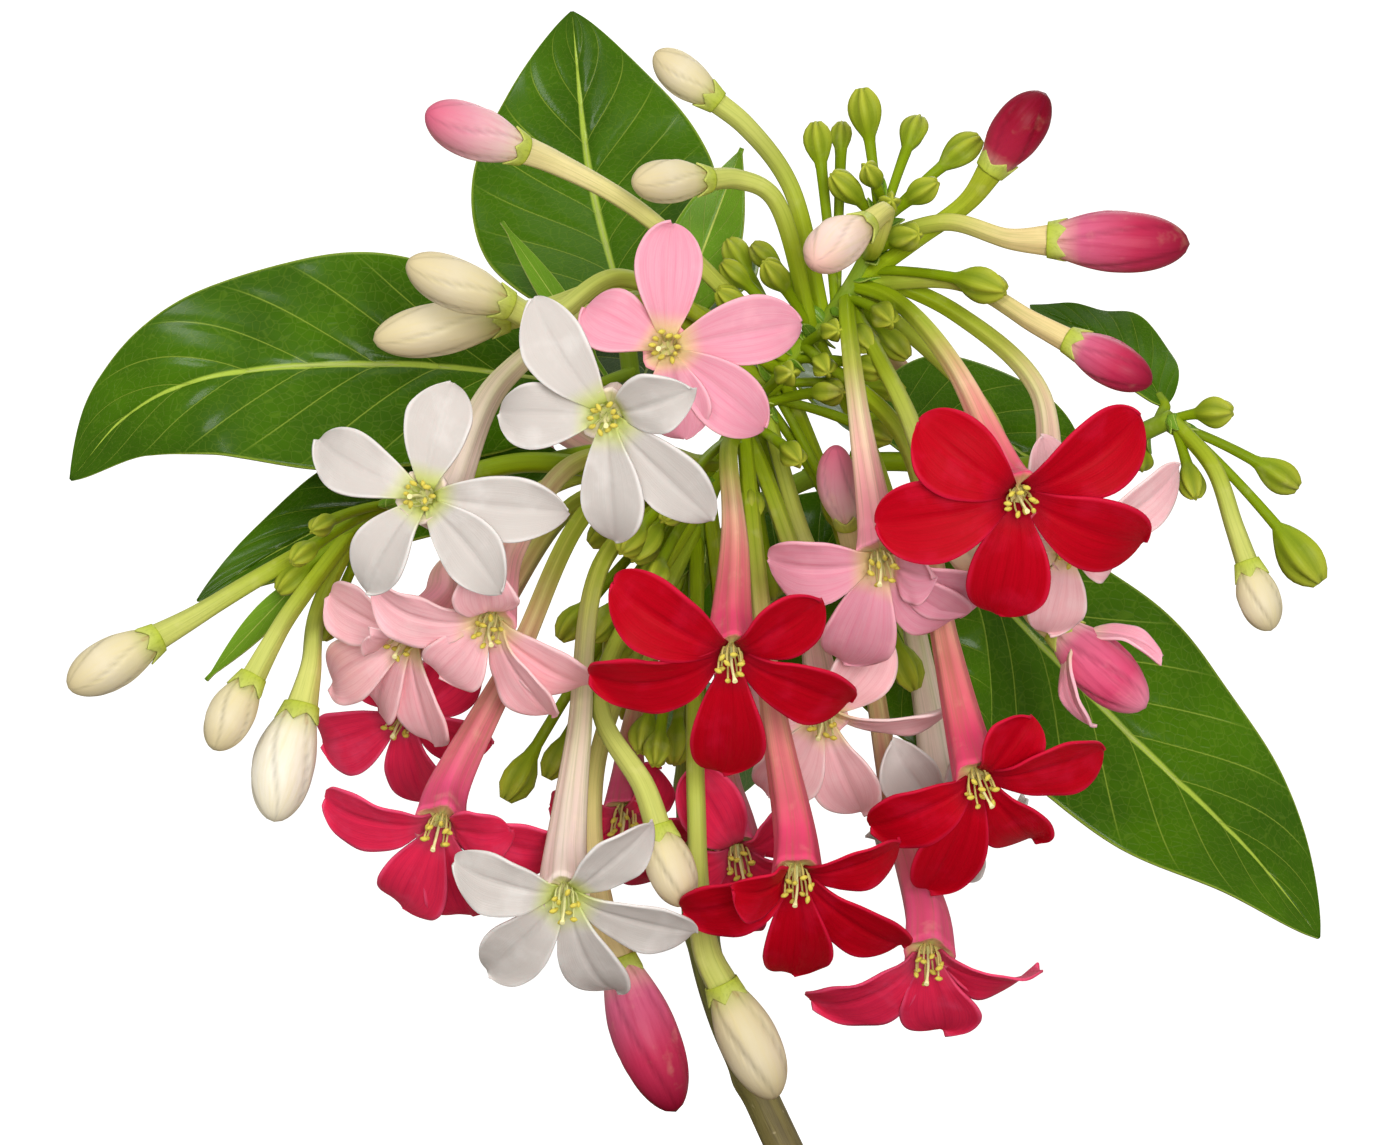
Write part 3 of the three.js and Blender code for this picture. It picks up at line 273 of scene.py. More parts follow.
# The side shoots
SHOOTS = {
    "left": [(694, 640, -18), (672, 520, -22), (640, 430, -26), (628, 350, -28)],
    "right": [(696, 584, -13), (760, 505, -26), (860, 464, -30), (1010, 468, -26), (1110, 446, -14),
        (1172, 419, -7)],
    "spray": [(700, 478, -2), (600, 468, 8), (520, 463, 8), (440, 484, 6), (360, 520, 6)],
}

# A leaf's stalk runs from its root to the first place of its rib
LEAVES = [
    dict(name="leaf_top", width=42, face=(-0.1, 0.35, 0.93), root=(630, 352, -28),
         rib=[(628, 326, -34), (589, 170, -56), (572, 12, -68)]),
    dict(name="leaf_left", width=38, face=(-0.1, 0.35, 0.93), root=(634, 372, -27),
         rib=[(592, 386, -24), (400, 364, -10), (205, 378, -8), (128, 415, -11), (71, 480, -14)]),
    dict(name="leaf_left_low", width=19, face=(-0.1, 0.4, 0.9), root=(650, 440, -25),
         rib=[(560, 455, -22), (400, 494, -14), (290, 544, -10), (197, 601, -8)]),
    dict(name="leaf_right_small", width=14, face=(0.3, 0.5, 0.8), root=(1160, 420, -10),
         rib=[(1165, 406, -12), (1130, 354, -18), (1030, 306, -26)]),
    dict(name="leaf_right_high", width=26, face=(0.2, 0.5, 0.84), root=(880, 448, -30),
         rib=[(868, 418, -30), (985, 432, -40), (1105, 515, -38)]),
    dict(name="leaf_right_low", width=40, face=(0.25, 0.3, 0.92), root=(805, 474, -28),
         rib=[(920, 520, -50), (1122, 727, -46), (1250, 852, -38), (1319, 938, -30)]),
    dict(name="leaf_low_mid", width=27, face=(0.1, 0.2, 0.97), root=(845, 457, -30),
         rib=[(856, 510, -32), (905, 640, -26), (985, 775, -20)]),
    dict(name="leaf_back_left", width=36, face=(-0.3, 0.9, -0.3), root=(641, 432, -26),
         rib=[(632, 410, -42), (672, 304, -82), (680, 316, -118)]),
    dict(name="leaf_back_right", width=31, face=(0.2, 0.95, -0.2), root=(856, 454, -30),
         rib=[(866, 432, -44), (864, 384, -82), (850, 430, -118)]),
    dict(name="leaf_heart", width=30, face=(0.1, 0.25, 0.96), root=(690, 655, -20),
         rib=[(708, 640, -36), (790, 585, -45), (880, 488, -47)]),
    dict(name="leaf_back_low", width=34, face=(0.1, 0.8, -0.6), root=(690, 700, -20),
         rib=[(700, 700, -30), (720, 690, -62), (730, 800, -94)]),
    dict(name="leaf_pot_left", width=34, face=(-0.2, 0.95, 0.15), root=(834, 1256, -27),
         rib=[(765, 1225, -30), (540, 1192, -14), (235, 1245, 6)]),
    dict(name="leaf_pot_back", width=34, face=(0.1, 0.95, -0.2), root=(830, 1243, -27),
         rib=[(840, 1205, -42), (870, 1172, -72), (900, 1232, -112)]),
]

# Young leaves, as (root, tip, width)
LEAFLETS = {
    "left": [
        ((639, 425, -26), (502, 222, -34), 4.2), ((640, 420, -26), (742, 148, -20), 12),
    ],
    "spray": [
        ((352, 528, 4), (206, 680, 0), 4.2),
    ],
}


def clamped(value):
    """The value, held between 0 and 1."""
    return min(1.0, max(0.0, value))


def linear(hexed):
    """A colour given as sRGB hex, as Blender's linear values."""
    channels = [int(hexed[i : i + 2], 16) / 255 for i in (1, 3, 5)]
    return tuple(c / 12.92 if c <= 0.04045 else ((c + 0.055) / 1.055) ** 2.4 for c in channels) + (1.0,)


def mixed(a, b, share):
    """The colour at a share of the way from a to b."""
    share = clamped(share)
    return tuple(x + (y - x) * share for x, y in zip(a, b))


def graded(stops, share):
    """The colour at a share along (place, colour) stops."""
    for (low, first), (high, second) in zip(stops, stops[1:]):
        if share <= high:
            return mixed(first, second, (share - low) / (high - low))
    return stops[-1][1]


def colour_property(name, description, hexed):
    return bpy.props.FloatVectorProperty(
        name=name, description=description, subtype="COLOR", size=4, min=0, max=1, default=linear(hexed)
    )


def length_property(name, description, mm):
    return bpy.props.FloatProperty(name=name, description=description, unit="LENGTH", default=mm * MM)


class CreeperSizes(bpy.types.PropertyGroup):
    petal_thickness: length_property("Petal thickness", "Thickness of a petal's blade", 0.4)
    leaf_thickness: length_property("Leaf thickness", "Thickness of a leaf's blade", 0.5)
    leaf_wave: length_property("Leaf wave", "How far a leaf's margin waves up and down", 0.9)
    vein_depth: length_property("Vein depth", "How deep a leaf is pressed in along its veins", 0.36)
    stamen_length: length_property("Stamen length", "How far the stamens stand out of the throat", 4.8)
    style_length: length_property("Style length", "How far the style stands out of the throat", 6.4)
    crumb: length_property("Crumb", "Largest crumb of bark in the potting mix", 2.6)
    crumbs: bpy.props.IntProperty(
        name="Crumbs", description="Loose crumbs on the potting mix", default=420, min=0
    )


class CreeperColours(bpy.types.PropertyGroup):
    red: colour_property("Red petal", "Oldest flowers", "#AE0016")
    rose: colour_property("Rose petal", "Flowers turning red", "#DA284C")
    pink: colour_property("Pink petal", "Second-day flowers", "#DB98A8")
    # Shell pink: the pink painted lighter to stand in for light on flowers in shade, and more salmon in
    # tone
    shell: colour_property("Shell pink petal", "Flowers that have just turned pink", "#FAC0C5")
    blush: colour_property("Blush petal", "Flowers turning pink", "#EFBDC0")
    white: colour_property("White petal", "New flowers", "#C2BAB4")
    green: colour_property("Young green", "Stalks and small buds", "#839A08")
    throat: colour_property("Throat", "Inside of the flower's throat", "#B4C630")
    leaf: colour_property("Leaf", "Upper face of a leaf", "#406604")
    leaf_under: colour_property("Leaf underside", "Lower face of a leaf", "#6B9450")
    midrib: colour_property("Midrib", "Midrib and side veins", "#A4B944")
    bark: colour_property("Bark", "Old part of the stem", "#77693C")
    clay: colour_property("Clay", "Fired clay of the pot", "#B4603A")
    soil: colour_property("Potting mix", "Damp potting mix", "#33241A")


# Pink flowers in the shade of the white ones take the shell pink: painted lighter to stand in for light,
# and more salmon
LIGHTENED_PINKS = {"pink_left": "shell", "pink_far_left": "shell"}

# A petal's rim, streaks, back and throat
PETAL_SHADES = {
    "red": ("#CE1C40", "#8E0008", "#C2203E", "#8E0A1E"),
    "rose": ("#E0557A", "#AE1840", "#D65672", "#B4405A"),
    "pink": ("#F2B6C0", "#D8708C", "#EEB2BC", "#DECB84"),
    "blush": ("#F3DEDA", "#DE929C", "#EED8D2", "#DECB84"),
    "white": ("#E9E4E0", "#C6BEB8", "#DED7D1", "#C6D060"),
    # Shell pink: lighter than the pink as painted light for flowers in shade, and more salmon
    "shell": ("#F8D2D2", "#E88C9C", "#F4CCCC", "#DECB84"),
}

# A flower tube at its middle and its mouth, and the flush in its furrows
TUBE_SHADES = {
    "red": ("#DDB892", "#D64468", "#C2395E"),
    "rose": ("#DDB892", "#D8527A", "#C2395E"),
    "pink": ("#E0CFA6", "#EA98A6", "#E27F97"),
    "blush": ("#DCCFA4", "#EDB4B8", "#E59AA6"),
    "white": ("#CAC494", "#DCCABE", "#E9C6C0"),
}

# A large bud's tube half way up and below the bud
BUD_TUBE_SHADES = {
    "cream": ("#9AA824", "#BABE62"), "white": ("#A6B232", "#C4C66C"), "blush": ("#A6B032", "#CAC470"),
    "pink": ("#B4B850", "#DACC90"), "rose": ("#B0B44C", "#DAC48A"), "red": ("#94A61A", "#9EA82A"),
}

# A large bud's skin from its neck to its tip
BUD_SHADES = {
    "cream": ("#AAAC5A", "#D0C49A", "#D4C8A8", "#C6B68C"),
    "white": ("#C0C084", "#E0D9C2", "#E4DDCC", "#DAD0B6"),
    "blush": ("#BFB078", "#E4C8B2", "#E8CFC2", "#DEB2A6"),
    "pink": ("#DDCBAC", "#E2BCBA", "#DA9AA6", "#C85C76"),
    "rose": ("#E2B4A6", "#CA6080", "#B02C4C", "#820C26"),
    "red": ("#D69C92", "#AA2642", "#880824", "#6A0218"),
}

# The skin of the bud that is opening
OPENING_SHADES = ("#EBC4BC", "#DE6E8E", "#D24A70", "#E08AA0")

# The material slot of a large bud of each colour
BUD_SLOT = {
    "cream": "bud_cream", "white": "bud_cream", "blush": "bud_cream",
    "pink": "bud_pink", "rose": "bud_rose", "red": "bud_rose",
}


def seen(place):
    """A place of the front view as a point in metres."""
    across, down = place[:2]
    forward = place[2] if len(place) > 2 else 0
    shrink = (VIEW_DISTANCE - forward) / VIEW_DISTANCE
    return MM * Vector((
        (across - VIEW_CENTRE[0]) * GRID * shrink,
        HEAD_PLANE_Y - forward,
        VIEW_HEIGHT + (VIEW_CENTRE[1] - down) * GRID * shrink,
    ))


def bowed(first, middle, last, t):
    """The point at t of the arc from first to last that leans towards middle."""
    return first * (1 - t) ** 2 + middle * (2 * t * (1 - t)) + last * t**2


def towards(direction):
    """A direction given as (right, up, towards the viewer)."""
    right, up, forward = direction
    return Vector((right, -forward, up)).normalized()


class Route:
    """A smooth curve through points that is measured along its length."""

    SAMPLES_PER_SPAN = 24
    SEARCH_STEPS = 80

    def __init__(self, points):
        self.points = points
        steps = self.SAMPLES_PER_SPAN * (len(points) - 1)
        self.samples = [self.point(i / steps) for i in range(steps + 1)]
        self.lengths = [0.0]
        for here, there in zip(self.samples, self.samples[1:]):
            self.lengths.append(self.lengths[-1] + (there - here).length)
        self.length = self.lengths[-1]

    def point(self, share):
        """The point at a share of the curve's spans, however long each is."""
        points, last = self.points, len(self.points) - 1
        span = min(last - 1, int(share * last))
        t = share * last - span
        b, c = points[span], points[span + 1]
        a = points[span - 1] if span else 2 * b - c
        d = points[span + 2] if span + 2 <= last else 2 * c - b
        first, middle, second = ((q - p).length ** 0.5 for p, q in ((a, b), (b, c), (c, d)))
        leave = ((b - a) / first - (c - a) / (first + middle) + (c - b) / middle) * middle
        arrive = ((c - b) / middle - (d - b) / (middle + second) + (d - c) / second) * middle
        return (
            b * (2 * t**3 - 3 * t**2 + 1) + leave * (t**3 - 2 * t**2 + t)
            + c * (3 * t**2 - 2 * t**3) + arrive * (t**3 - t**2)
        )

    def at(self, share):
        """The point at a share of the curve's length."""
        goal = clamped(share) * self.length
        low, high = 0, len(self.lengths) - 1
        while high - low > 1:
            middle = (low + high) // 2
            low, high = (middle, high) if self.lengths[middle] <= goal else (low, middle)
        reach = self.lengths[high] - self.lengths[low]
        between = (goal - self.lengths[low]) / reach if reach else 0
        return self.samples[low].lerp(self.samples[high], between)

    def nearest(self, aim):
        """The curve's point that lies nearest to the aim."""
        tries = (self.at(i / self.SEARCH_STEPS) for i in range(self.SEARCH_STEPS + 1))
        return min(tries, key=lambda point: (point - aim).length)


CARRIERS = {
    "main": Route([seen(p) for p in VINE_POINTS]),
    "left": Route([seen(p) for p in SHOOTS["spray"]]),
    "right": Route([seen(p) for p in SHOOTS["right"]]),
}


def carried(route, rows):
    """Point, side and upward side at each row of a route, turning as little as it can from row to row."""
    points = [route.at(i / rows) for i in range(rows + 1)]
    frames = []
    side = None
    for i, point in enumerate(points):
        heading = (points[min(rows, i + 1)] - points[max(0, i - 1)]).normalized()
        if side is None:
            side = heading.orthogonal().normalized()
        side = (side - heading * side.dot(heading)).normalized()
        frames.append((point, side, heading.cross(side)))
    return frames


def start():
    """A new bmesh with the tint and UV layers that the finishes read."""
    bm = bmesh.new()
    bm.verts.layers.float_color.new("tint")
    bm.loops.layers.uv.new("UVMap")
    return bm


def sheet(bm, columns, rows, shape, tint=None, wrapped=False):
    """A grid bent to shape(u, v), coloured by tint(u, v) and, if wrapped, closed at its seam and ends."""
    verts = bmesh.ops.create_grid(bm, x_segments=columns, y_segments=rows, size=0.5, calc_uvs=True)["verts"]
    layer = bm.verts.layers.float_color["tint"]
    for vert in verts:
        u, v = vert.co.x + 0.5, vert.co.y + 0.5
        vert.co = shape(u, v)
        vert[layer] = tint(u, v) if tint else (1, 1, 1, 1)
    faces = list({face for vert in verts for face in vert.link_faces})
    for face in faces:
        face.smooth = True
    if wrapped:
        bmesh.ops.remove_doubles(bm, verts=verts, dist=WELD)


def ringed(bm, route, rows, columns, radius_at, tint=None, ridge=0.0, ridges=RIDGES, cup=0.0, relief=None):
    """A round, ridged stalk along a route. A cup sinks its far end into a funnel that deep."""
    frames = carried(route, rows)
    heading = (route.at(1) - route.at(0.97)).normalized()

    def shape(u, v):
        row = round(v * (rows + CAP_ROWS)) - 1
        held = min(rows, max(0, row))
        point, side, other = frames[held]
        radius = radius_at(held / rows)
        if row < 0:
            radius = 0
        if row > rows:
            extra = row - rows
            point = point - heading * cup * (0.0, 0.25, 0.8, 1.0)[extra]
            radius *= (1, 0.8, 0.3, 0)[extra]
        angle = 2 * math.pi * u
        radius *= 1 + ridge * math.cos(ridges * angle)
        if relief:
            radius *= relief(held / rows, u)
        return point + side * (radius * math.cos(angle)) + other * (radius * math.sin(angle))

    def along(u, v):
        return tint((v * (rows + CAP_ROWS) - 1) / rows, u) if tint else (1, 1, 1, 1)

    sheet(bm, columns, rows + CAP_ROWS, shape, along, wrapped=True)


def finish_piece(name, bm, materials, nodes=(), slot=None, solid=None):
    """Makes a piece of the finished bmesh that stands for the named solid parts.

    A solid thickness makes a blade of an open sheet, with the second material on its back.
    """
    if solid is None:
        bmesh.ops.recalc_face_normals(bm, faces=bm.faces)
    mesh = bpy.data.meshes.new(name)
    bm.to_mesh(mesh)
    bm.free()
    piece = bpy.data.objects.new(name, mesh)
    bpy.context.scene.collection.objects.link(piece)
    for material in materials:
        mesh.materials.append(material)
    if solid is not None:
        shell = piece.modifiers.new("Blade thickness", "SOLIDIFY")
        shell.thickness, shell.offset, shell.use_even_offset = solid, 0, False
        shell.material_offset = 1 if len(materials) > 1 else 0
        shell.material_offset_rim = 0
    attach(piece, "root")
    if nodes:
        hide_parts(*nodes)


# Materials


class Finish:
    """A new material with the few steps that its recipes share."""

    def __init__(self, name, roughness=0.5, **sockets):
        self.material = bpy.data.materials.new(name)
        self.material.use_nodes = True
        self.tree = self.material.node_tree
        self.shader = self.tree.nodes["Principled BSDF"]
        self.shader.inputs["Roughness"].default_value = roughness
        for key, value in sockets.items():
            self.shader.inputs[key.replace("_", " ")].default_value = value

    def add(self, kind, settings=None, inputs=None, links=None):
        """Adds a shader node with its settings, socket values and incoming links."""
        made = self.tree.nodes.new("ShaderNode" + kind)
        for key, value in (settings or {}).items():
            setattr(made, key, value)
        for key, value in (inputs or {}).items():
            made.inputs[key].default_value = value
        for key, socket in (links or {}).items():
            self.tree.links.new(socket, made.inputs[key])
        return made

    def uv(self):
        """The node that splits the sheet's place across and along it, and the place itself."""
        layer = self.add("UVMap", {"uv_map": "UVMap"})
        return self.add("SeparateXYZ", links={0: layer.outputs[0]}), layer.outputs[0]

    def local(self):
        return self.add("TexCoord").outputs["Object"]

    def math(self, operation, first, second=None):
        made = self.add("Math", {"operation": operation})
        for index, value in enumerate((first, second)):
            if value is None:
                continue
            if isinstance(value, (int, float)):
                made.inputs[index].default_value = value
            else:
                self.tree.links.new(value, made.inputs[index])
        return made.outputs[0]

    def noise(self, vector, scale, detail=3, stretch=(1, 1, 1), roughness=0.55):
        mapping = self.add("Mapping", inputs={"Scale": stretch}, links={"Vector": vector})
        return self.add(
            "TexNoise", inputs={"Scale": scale, "Detail": detail, "Roughness": roughness},
            links={"Vector": mapping.outputs[0]},
        ).outputs[0]

    def ramp(self, value, low, high, start_at=0.0, end_at=1.0):
        """Goes smoothly from start_at to end_at while the value goes from low to high."""
        return self.add(
            "MapRange", {"interpolation_type": "SMOOTHSTEP"},
            {"From Min": low, "From Max": high, "To Min": start_at, "To Max": end_at}, {"Value": value},
        ).outputs[0]

    def mix(self, share, first, second):
        made = self.add("Mix", {"data_type": "RGBA"})
        for socket, value in ((made.inputs[0], share), (made.inputs[6], first), (made.inputs[7], second)):
            if hasattr(value, "is_output"):
                self.tree.links.new(value, socket)
            else:
                socket.default_value = value
        return made.outputs[2]

    def colour(self, socket):
        self.tree.links.new(socket, self.shader.inputs["Base Color"])

    def bump(self, height, distance, strength=1.0):
        made = self.add("Bump", {}, {"Strength": strength, "Distance": distance}, {"Height": height})
        self.tree.links.new(made.outputs[0], self.shader.inputs["Normal"])

    def roughen(self, value, low, high):
        """Lets the roughness follow a noise."""
        self.tree.links.new(self.ramp(value, 0.3, 0.7, low, high), self.shader.inputs["Roughness"])


def petal_finish(name, base, streak, edge, throat, throat_reach):
    """A petal: fine streaks along it, a paler rim, a tinted base and faint crinkles."""
    f = Finish(
        name, 0.5, Specular_IOR_Level=0.05,
        Subsurface_Weight=0.12, Subsurface_Radius=(0.002, 0.001, 0.001),
    )
    parts, layer = f.uv()
    fine = f.noise(layer, 1.0, 4, (46, 1.6, 1), 0.65)
    broad = f.noise(layer, 1.0, 2, (9, 1.1, 1))
    mottled = f.noise(f.local(), 170, 3)
    colour = f.mix(f.ramp(fine, 0.42, 0.7, 0, 0.4), base, streak)
    colour = f.mix(f.ramp(broad, 0.45, 0.75, 0, 0.35), colour, streak)
    colour = f.mix(f.ramp(mottled, 0.5, 0.75, 0, 0.25), colour, edge)
    off_centre = f.math("MULTIPLY", f.math("ABSOLUTE", f.math("SUBTRACT", parts.outputs[0], 0.5)), 2.0)
    rim = f.math("MAXIMUM", off_centre, f.math("MULTIPLY", parts.outputs[1], 0.97))
    colour = f.mix(f.ramp(rim, 0.86, 1.0, 0, 0.6), colour, edge)
    colour = f.mix(f.ramp(parts.outputs[1], 0.0, throat_reach, 0.9, 0), colour, throat)
    f.colour(colour)
    f.bump(f.math("ADD", fine, f.math("MULTIPLY", mottled, 0.9)), 0.0002, 0.4)
    return f.material


def tinted_finish(name, streak, roughness=0.45, bump=0.00015, depth=0.3):
    """Living green or a bud: its own painted tint under fine lengthwise streaks and a mottle."""
    f = Finish(
        name, roughness, Specular_IOR_Level=0.1,
        Subsurface_Weight=0.06, Subsurface_Radius=(0.001, 0.001, 0.0006),
    )
    layer = f.add("UVMap", {"uv_map": "UVMap"}).outputs[0]
    tint = f.add("Attribute", {"attribute_name": "tint"}).outputs["Color"]
    fine = f.noise(layer, 1.0, 3, (30, 2.2, 1), 0.6)
    mottled = f.noise(f.local(), 260, 3)
    colour = f.mix(f.ramp(fine, 0.45, 0.7, 0, depth), tint, streak)
    colour = f.mix(f.ramp(mottled, 0.55, 0.8, 0, 0.4 * depth), colour, linear("#F4E6B0"))
    f.colour(colour)
    f.bump(f.math("ADD", fine, mottled), bump, 0.5)
    return f.material


def leaf_finish(name, base, dark, vein, net_share, roughness):
    """A leaf: lime midrib, looping side veins with a fine net between them, glossy blade."""
    f = Finish(name, roughness, Specular_IOR_Level=0.04, Coat_Weight=0.14, Coat_Roughness=0.17)
    parts, layer = f.uv()
    u, v = parts.outputs[0], parts.outputs[1]
    across = f.math("ABSOLUTE", f.math("SUBTRACT", u, 0.5))
    blotch = f.noise(f.local(), 45, 3)
    colour = f.mix(f.ramp(blotch, 0.35, 0.7, 0, 0.7), base, dark)
    sweep = f.math("MULTIPLY", f.math("POWER", across, VEIN_BEND), VEIN_SWEEP)
    swept = f.math("SUBTRACT", f.math("MULTIPLY", v, SIDE_VEINS), sweep)
    phase = f.math("FRACT", f.math("ADD", swept, VEIN_START))
    beside = f.math("ABSOLUTE", f.math("SUBTRACT", phase, 0.5))
    side_vein = f.ramp(beside, 0.0, 0.035, 1, 0)
    side_vein = f.math("MULTIPLY", side_vein, f.ramp(across, 0.3, 0.49, 1, 0.15))
    mapping = f.add("Mapping", inputs={"Scale": (26, 60, 1)}, links={"Vector": layer})
    cells = f.add(
        "TexVoronoi", {"feature": "DISTANCE_TO_EDGE"}, {"Scale": 1.0}, {"Vector": mapping.outputs[0]}
    )
    net = f.ramp(cells.outputs[0], 0.0, 0.09, 1, 0)
    midrib = f.ramp(across, 0.008, 0.022, 1, 0)
    colour = f.mix(f.math("MULTIPLY", net, net_share), colour, vein)
    colour = f.mix(f.math("MULTIPLY", side_vein, 0.5), colour, vein)
    colour = f.mix(f.math("MULTIPLY", midrib, 0.95), colour, vein)
    colour = f.mix(f.ramp(across, 0.485, 0.5, 0, 0.6), colour, vein)
    f.colour(colour)
    height = f.math("ADD", f.math("MULTIPLY", side_vein, -0.8), f.math("MULTIPLY", net, -0.22))
    f.bump(height, 0.00035, 0.6)
    f.roughen(blotch, roughness - 0.05, roughness + 0.12)
    return f.material


def clay_finish(colour):
    """Fired clay: sandy grain, throwing lines and faint pale mineral bloom."""
    f = Finish("Fired clay", 0.85)
    local = f.local()
    grain = f.noise(local, 900, 4)
    lines = f.noise(local, 1.0, 2, (3, 3, 420))
    cloud = f.noise(local, 28, 4)
    body = f.mix(f.ramp(cloud, 0.3, 0.7), colour, linear("#9C4C2C"))
    body = f.mix(f.ramp(grain, 0.5, 0.75, 0, 0.35), body, linear("#D08A62"))
    bloom = f.math("MULTIPLY", f.ramp(f.noise(local, 14, 5), 0.55, 0.8), 0.5)
    body = f.mix(bloom, body, linear("#D9B79C"))
    f.colour(body)
    f.bump(f.math("ADD", f.math("MULTIPLY", grain, 0.5), lines), 0.0003, 0.4)
    f.roughen(cloud, 0.78, 0.92)
    return f.material


def soil_finish(name, colour, light):
    """Damp bark and peat."""
    f = Finish(name, 0.95)
    local = f.local()
    grain = f.noise(local, 520, 5, roughness=0.7)
    patch = f.noise(local, 90, 3)
    body = f.mix(f.ramp(grain, 0.35, 0.7), colour, light)
    body = f.mix(f.ramp(patch, 0.4, 0.7, 0, 0.6), body, linear("#1B120C"))
    f.colour(body)
    f.bump(grain, 0.0009, 0.8)
    return f.material


def bark_finish(name, bark, green):
    """Young bark: green above, furrowed brown below, with pale breathing pores."""
    f = Finish(name, 0.65)
    parts, layer = f.uv()
    furrow = f.noise(layer, 1.0, 4, (22, 7, 1), 0.7)
    pores = f.ramp(f.noise(f.local(), 420, 2), 0.66, 0.74)
    body = f.mix(f.ramp(parts.outputs[1], 0.25, 1.0), bark, green)
    body = f.mix(f.ramp(furrow, 0.4, 0.65, 0, 0.6), body, linear("#4A3E22"))
    body = f.mix(f.math("MULTIPLY", pores, 0.5), body, linear("#C3B48A"))
    f.colour(body)
    f.bump(furrow, 0.0005, 0.7)
    return f.material


def rounded(corners, radius, steps=5):
    """An outline with each inner corner turned by a small arc."""
    points = [Vector(corners[0])]
    for before, corner, after in zip(corners, corners[1:], corners[2:]):
        before, corner, after = Vector(before), Vector(corner), Vector(after)
        reach = min(radius, 0.45 * (corner - before).length, 0.45 * (after - corner).length)
        near = corner + (before - corner).normalized() * reach
        far = corner + (after - corner).normalized() * reach
        points += [bowed(near, corner, far, i / steps) for i in range(steps + 1)]
    return points + [Vector(corners[-1])]


def turned(bm, outline, steps):
    """Turns an outline of (radius, height) in mm about the upright axis."""
    verts = [bm.verts.new((p.x * MM, 0, p.y * MM)) for p in outline]
    edges = [bm.edges.new(pair) for pair in zip(verts, verts[1:])]
    bmesh.ops.spin(
        bm, geom=verts + edges, cent=(0, 0, 0), axis=(0, 0, 1), angle=2 * math.pi, steps=steps,
        use_merge=True,
    )
    bmesh.ops.remove_doubles(bm, verts=bm.verts, dist=1e-6)
    for face in bm.faces:
        face.smooth = True


# The pot, with its outline as (radius, height), all in mm
POT_FLOOR = 6
POT_OUTLINE = [
    (0, 0), (45, 0), (58, 91), (62, 92), (65, 116), (59.6, 116), (54, 93), (40, POT_FLOOR), (0, POT_FLOOR),
]
POT_ROUNDING = 1.9
DRAINS = 3
DRAIN_CIRCLE = 24
DRAIN_RADIUS = 4
DRAIN_CUT = 20


def build_pot(colours):
    bm = start()
    turned(bm, rounded(POT_OUTLINE, POT_ROUNDING), 128)
    bmesh.ops.recalc_face_normals(bm, faces=bm.faces)
    shell = bpy.data.meshes.new("pot_shell")
    bm.to_mesh(shell)
    bm.free()
    cutter = bmesh.new()
    for i in range(DRAINS):
        turn = math.pi / 2 + i * 2 * math.pi / DRAINS
        spot = MM * Vector((DRAIN_CIRCLE * math.cos(turn), DRAIN_CIRCLE * math.sin(turn), POT_FLOOR / 2))
        bmesh.ops.create_cone(
            cutter, cap_ends=True, segments=32, radius1=DRAIN_RADIUS * MM, radius2=DRAIN_RADIUS * MM,
            depth=DRAIN_CUT * MM, matrix=Matrix.Translation(spot),
        )
    holes = bpy.data.meshes.new("pot_drains")
    cutter.to_mesh(holes)
    cutter.free()
    scene = bpy.context.scene
    blank, drill = (bpy.data.objects.new(mesh.name, mesh) for mesh in (shell, holes))
    for thing in (blank, drill):
        scene.collection.objects.link(thing)
    cut = blank.modifiers.new("Drain holes", "BOOLEAN")
    cut.operation, cut.solver, cut.object = "DIFFERENCE", "EXACT", drill
    ready = blank.evaluated_get(bpy.context.evaluated_depsgraph_get())
    bm = bmesh.new()
    bm.from_mesh(ready.to_mesh())
    ready.to_mesh_clear()
    for thing in (blank, drill):
        bpy.data.objects.remove(thing)
    # Level faces, such as the top of the rim, are shaded flat
    for face in bm.faces:
        face.smooth = abs(face.normal.z) < 0.999
    finish_piece("clay_pot", bm, [clay_finish(colours.clay)], ["pot"], "terracotta")


def soil_height(x, y):
    """The soil's lumpy top at a place, all in mm."""
    lump = math.sin(x * 0.31 + 1) * math.cos(y * 0.27) + 0.6 * math.sin(x * 0.12 - y * 0.5)
    return SOIL_TOP + SOIL_LUMP * 0.8 * lump + 1.4 * noise.noise(Vector((x * 0.16, y * 0.16, 3)))


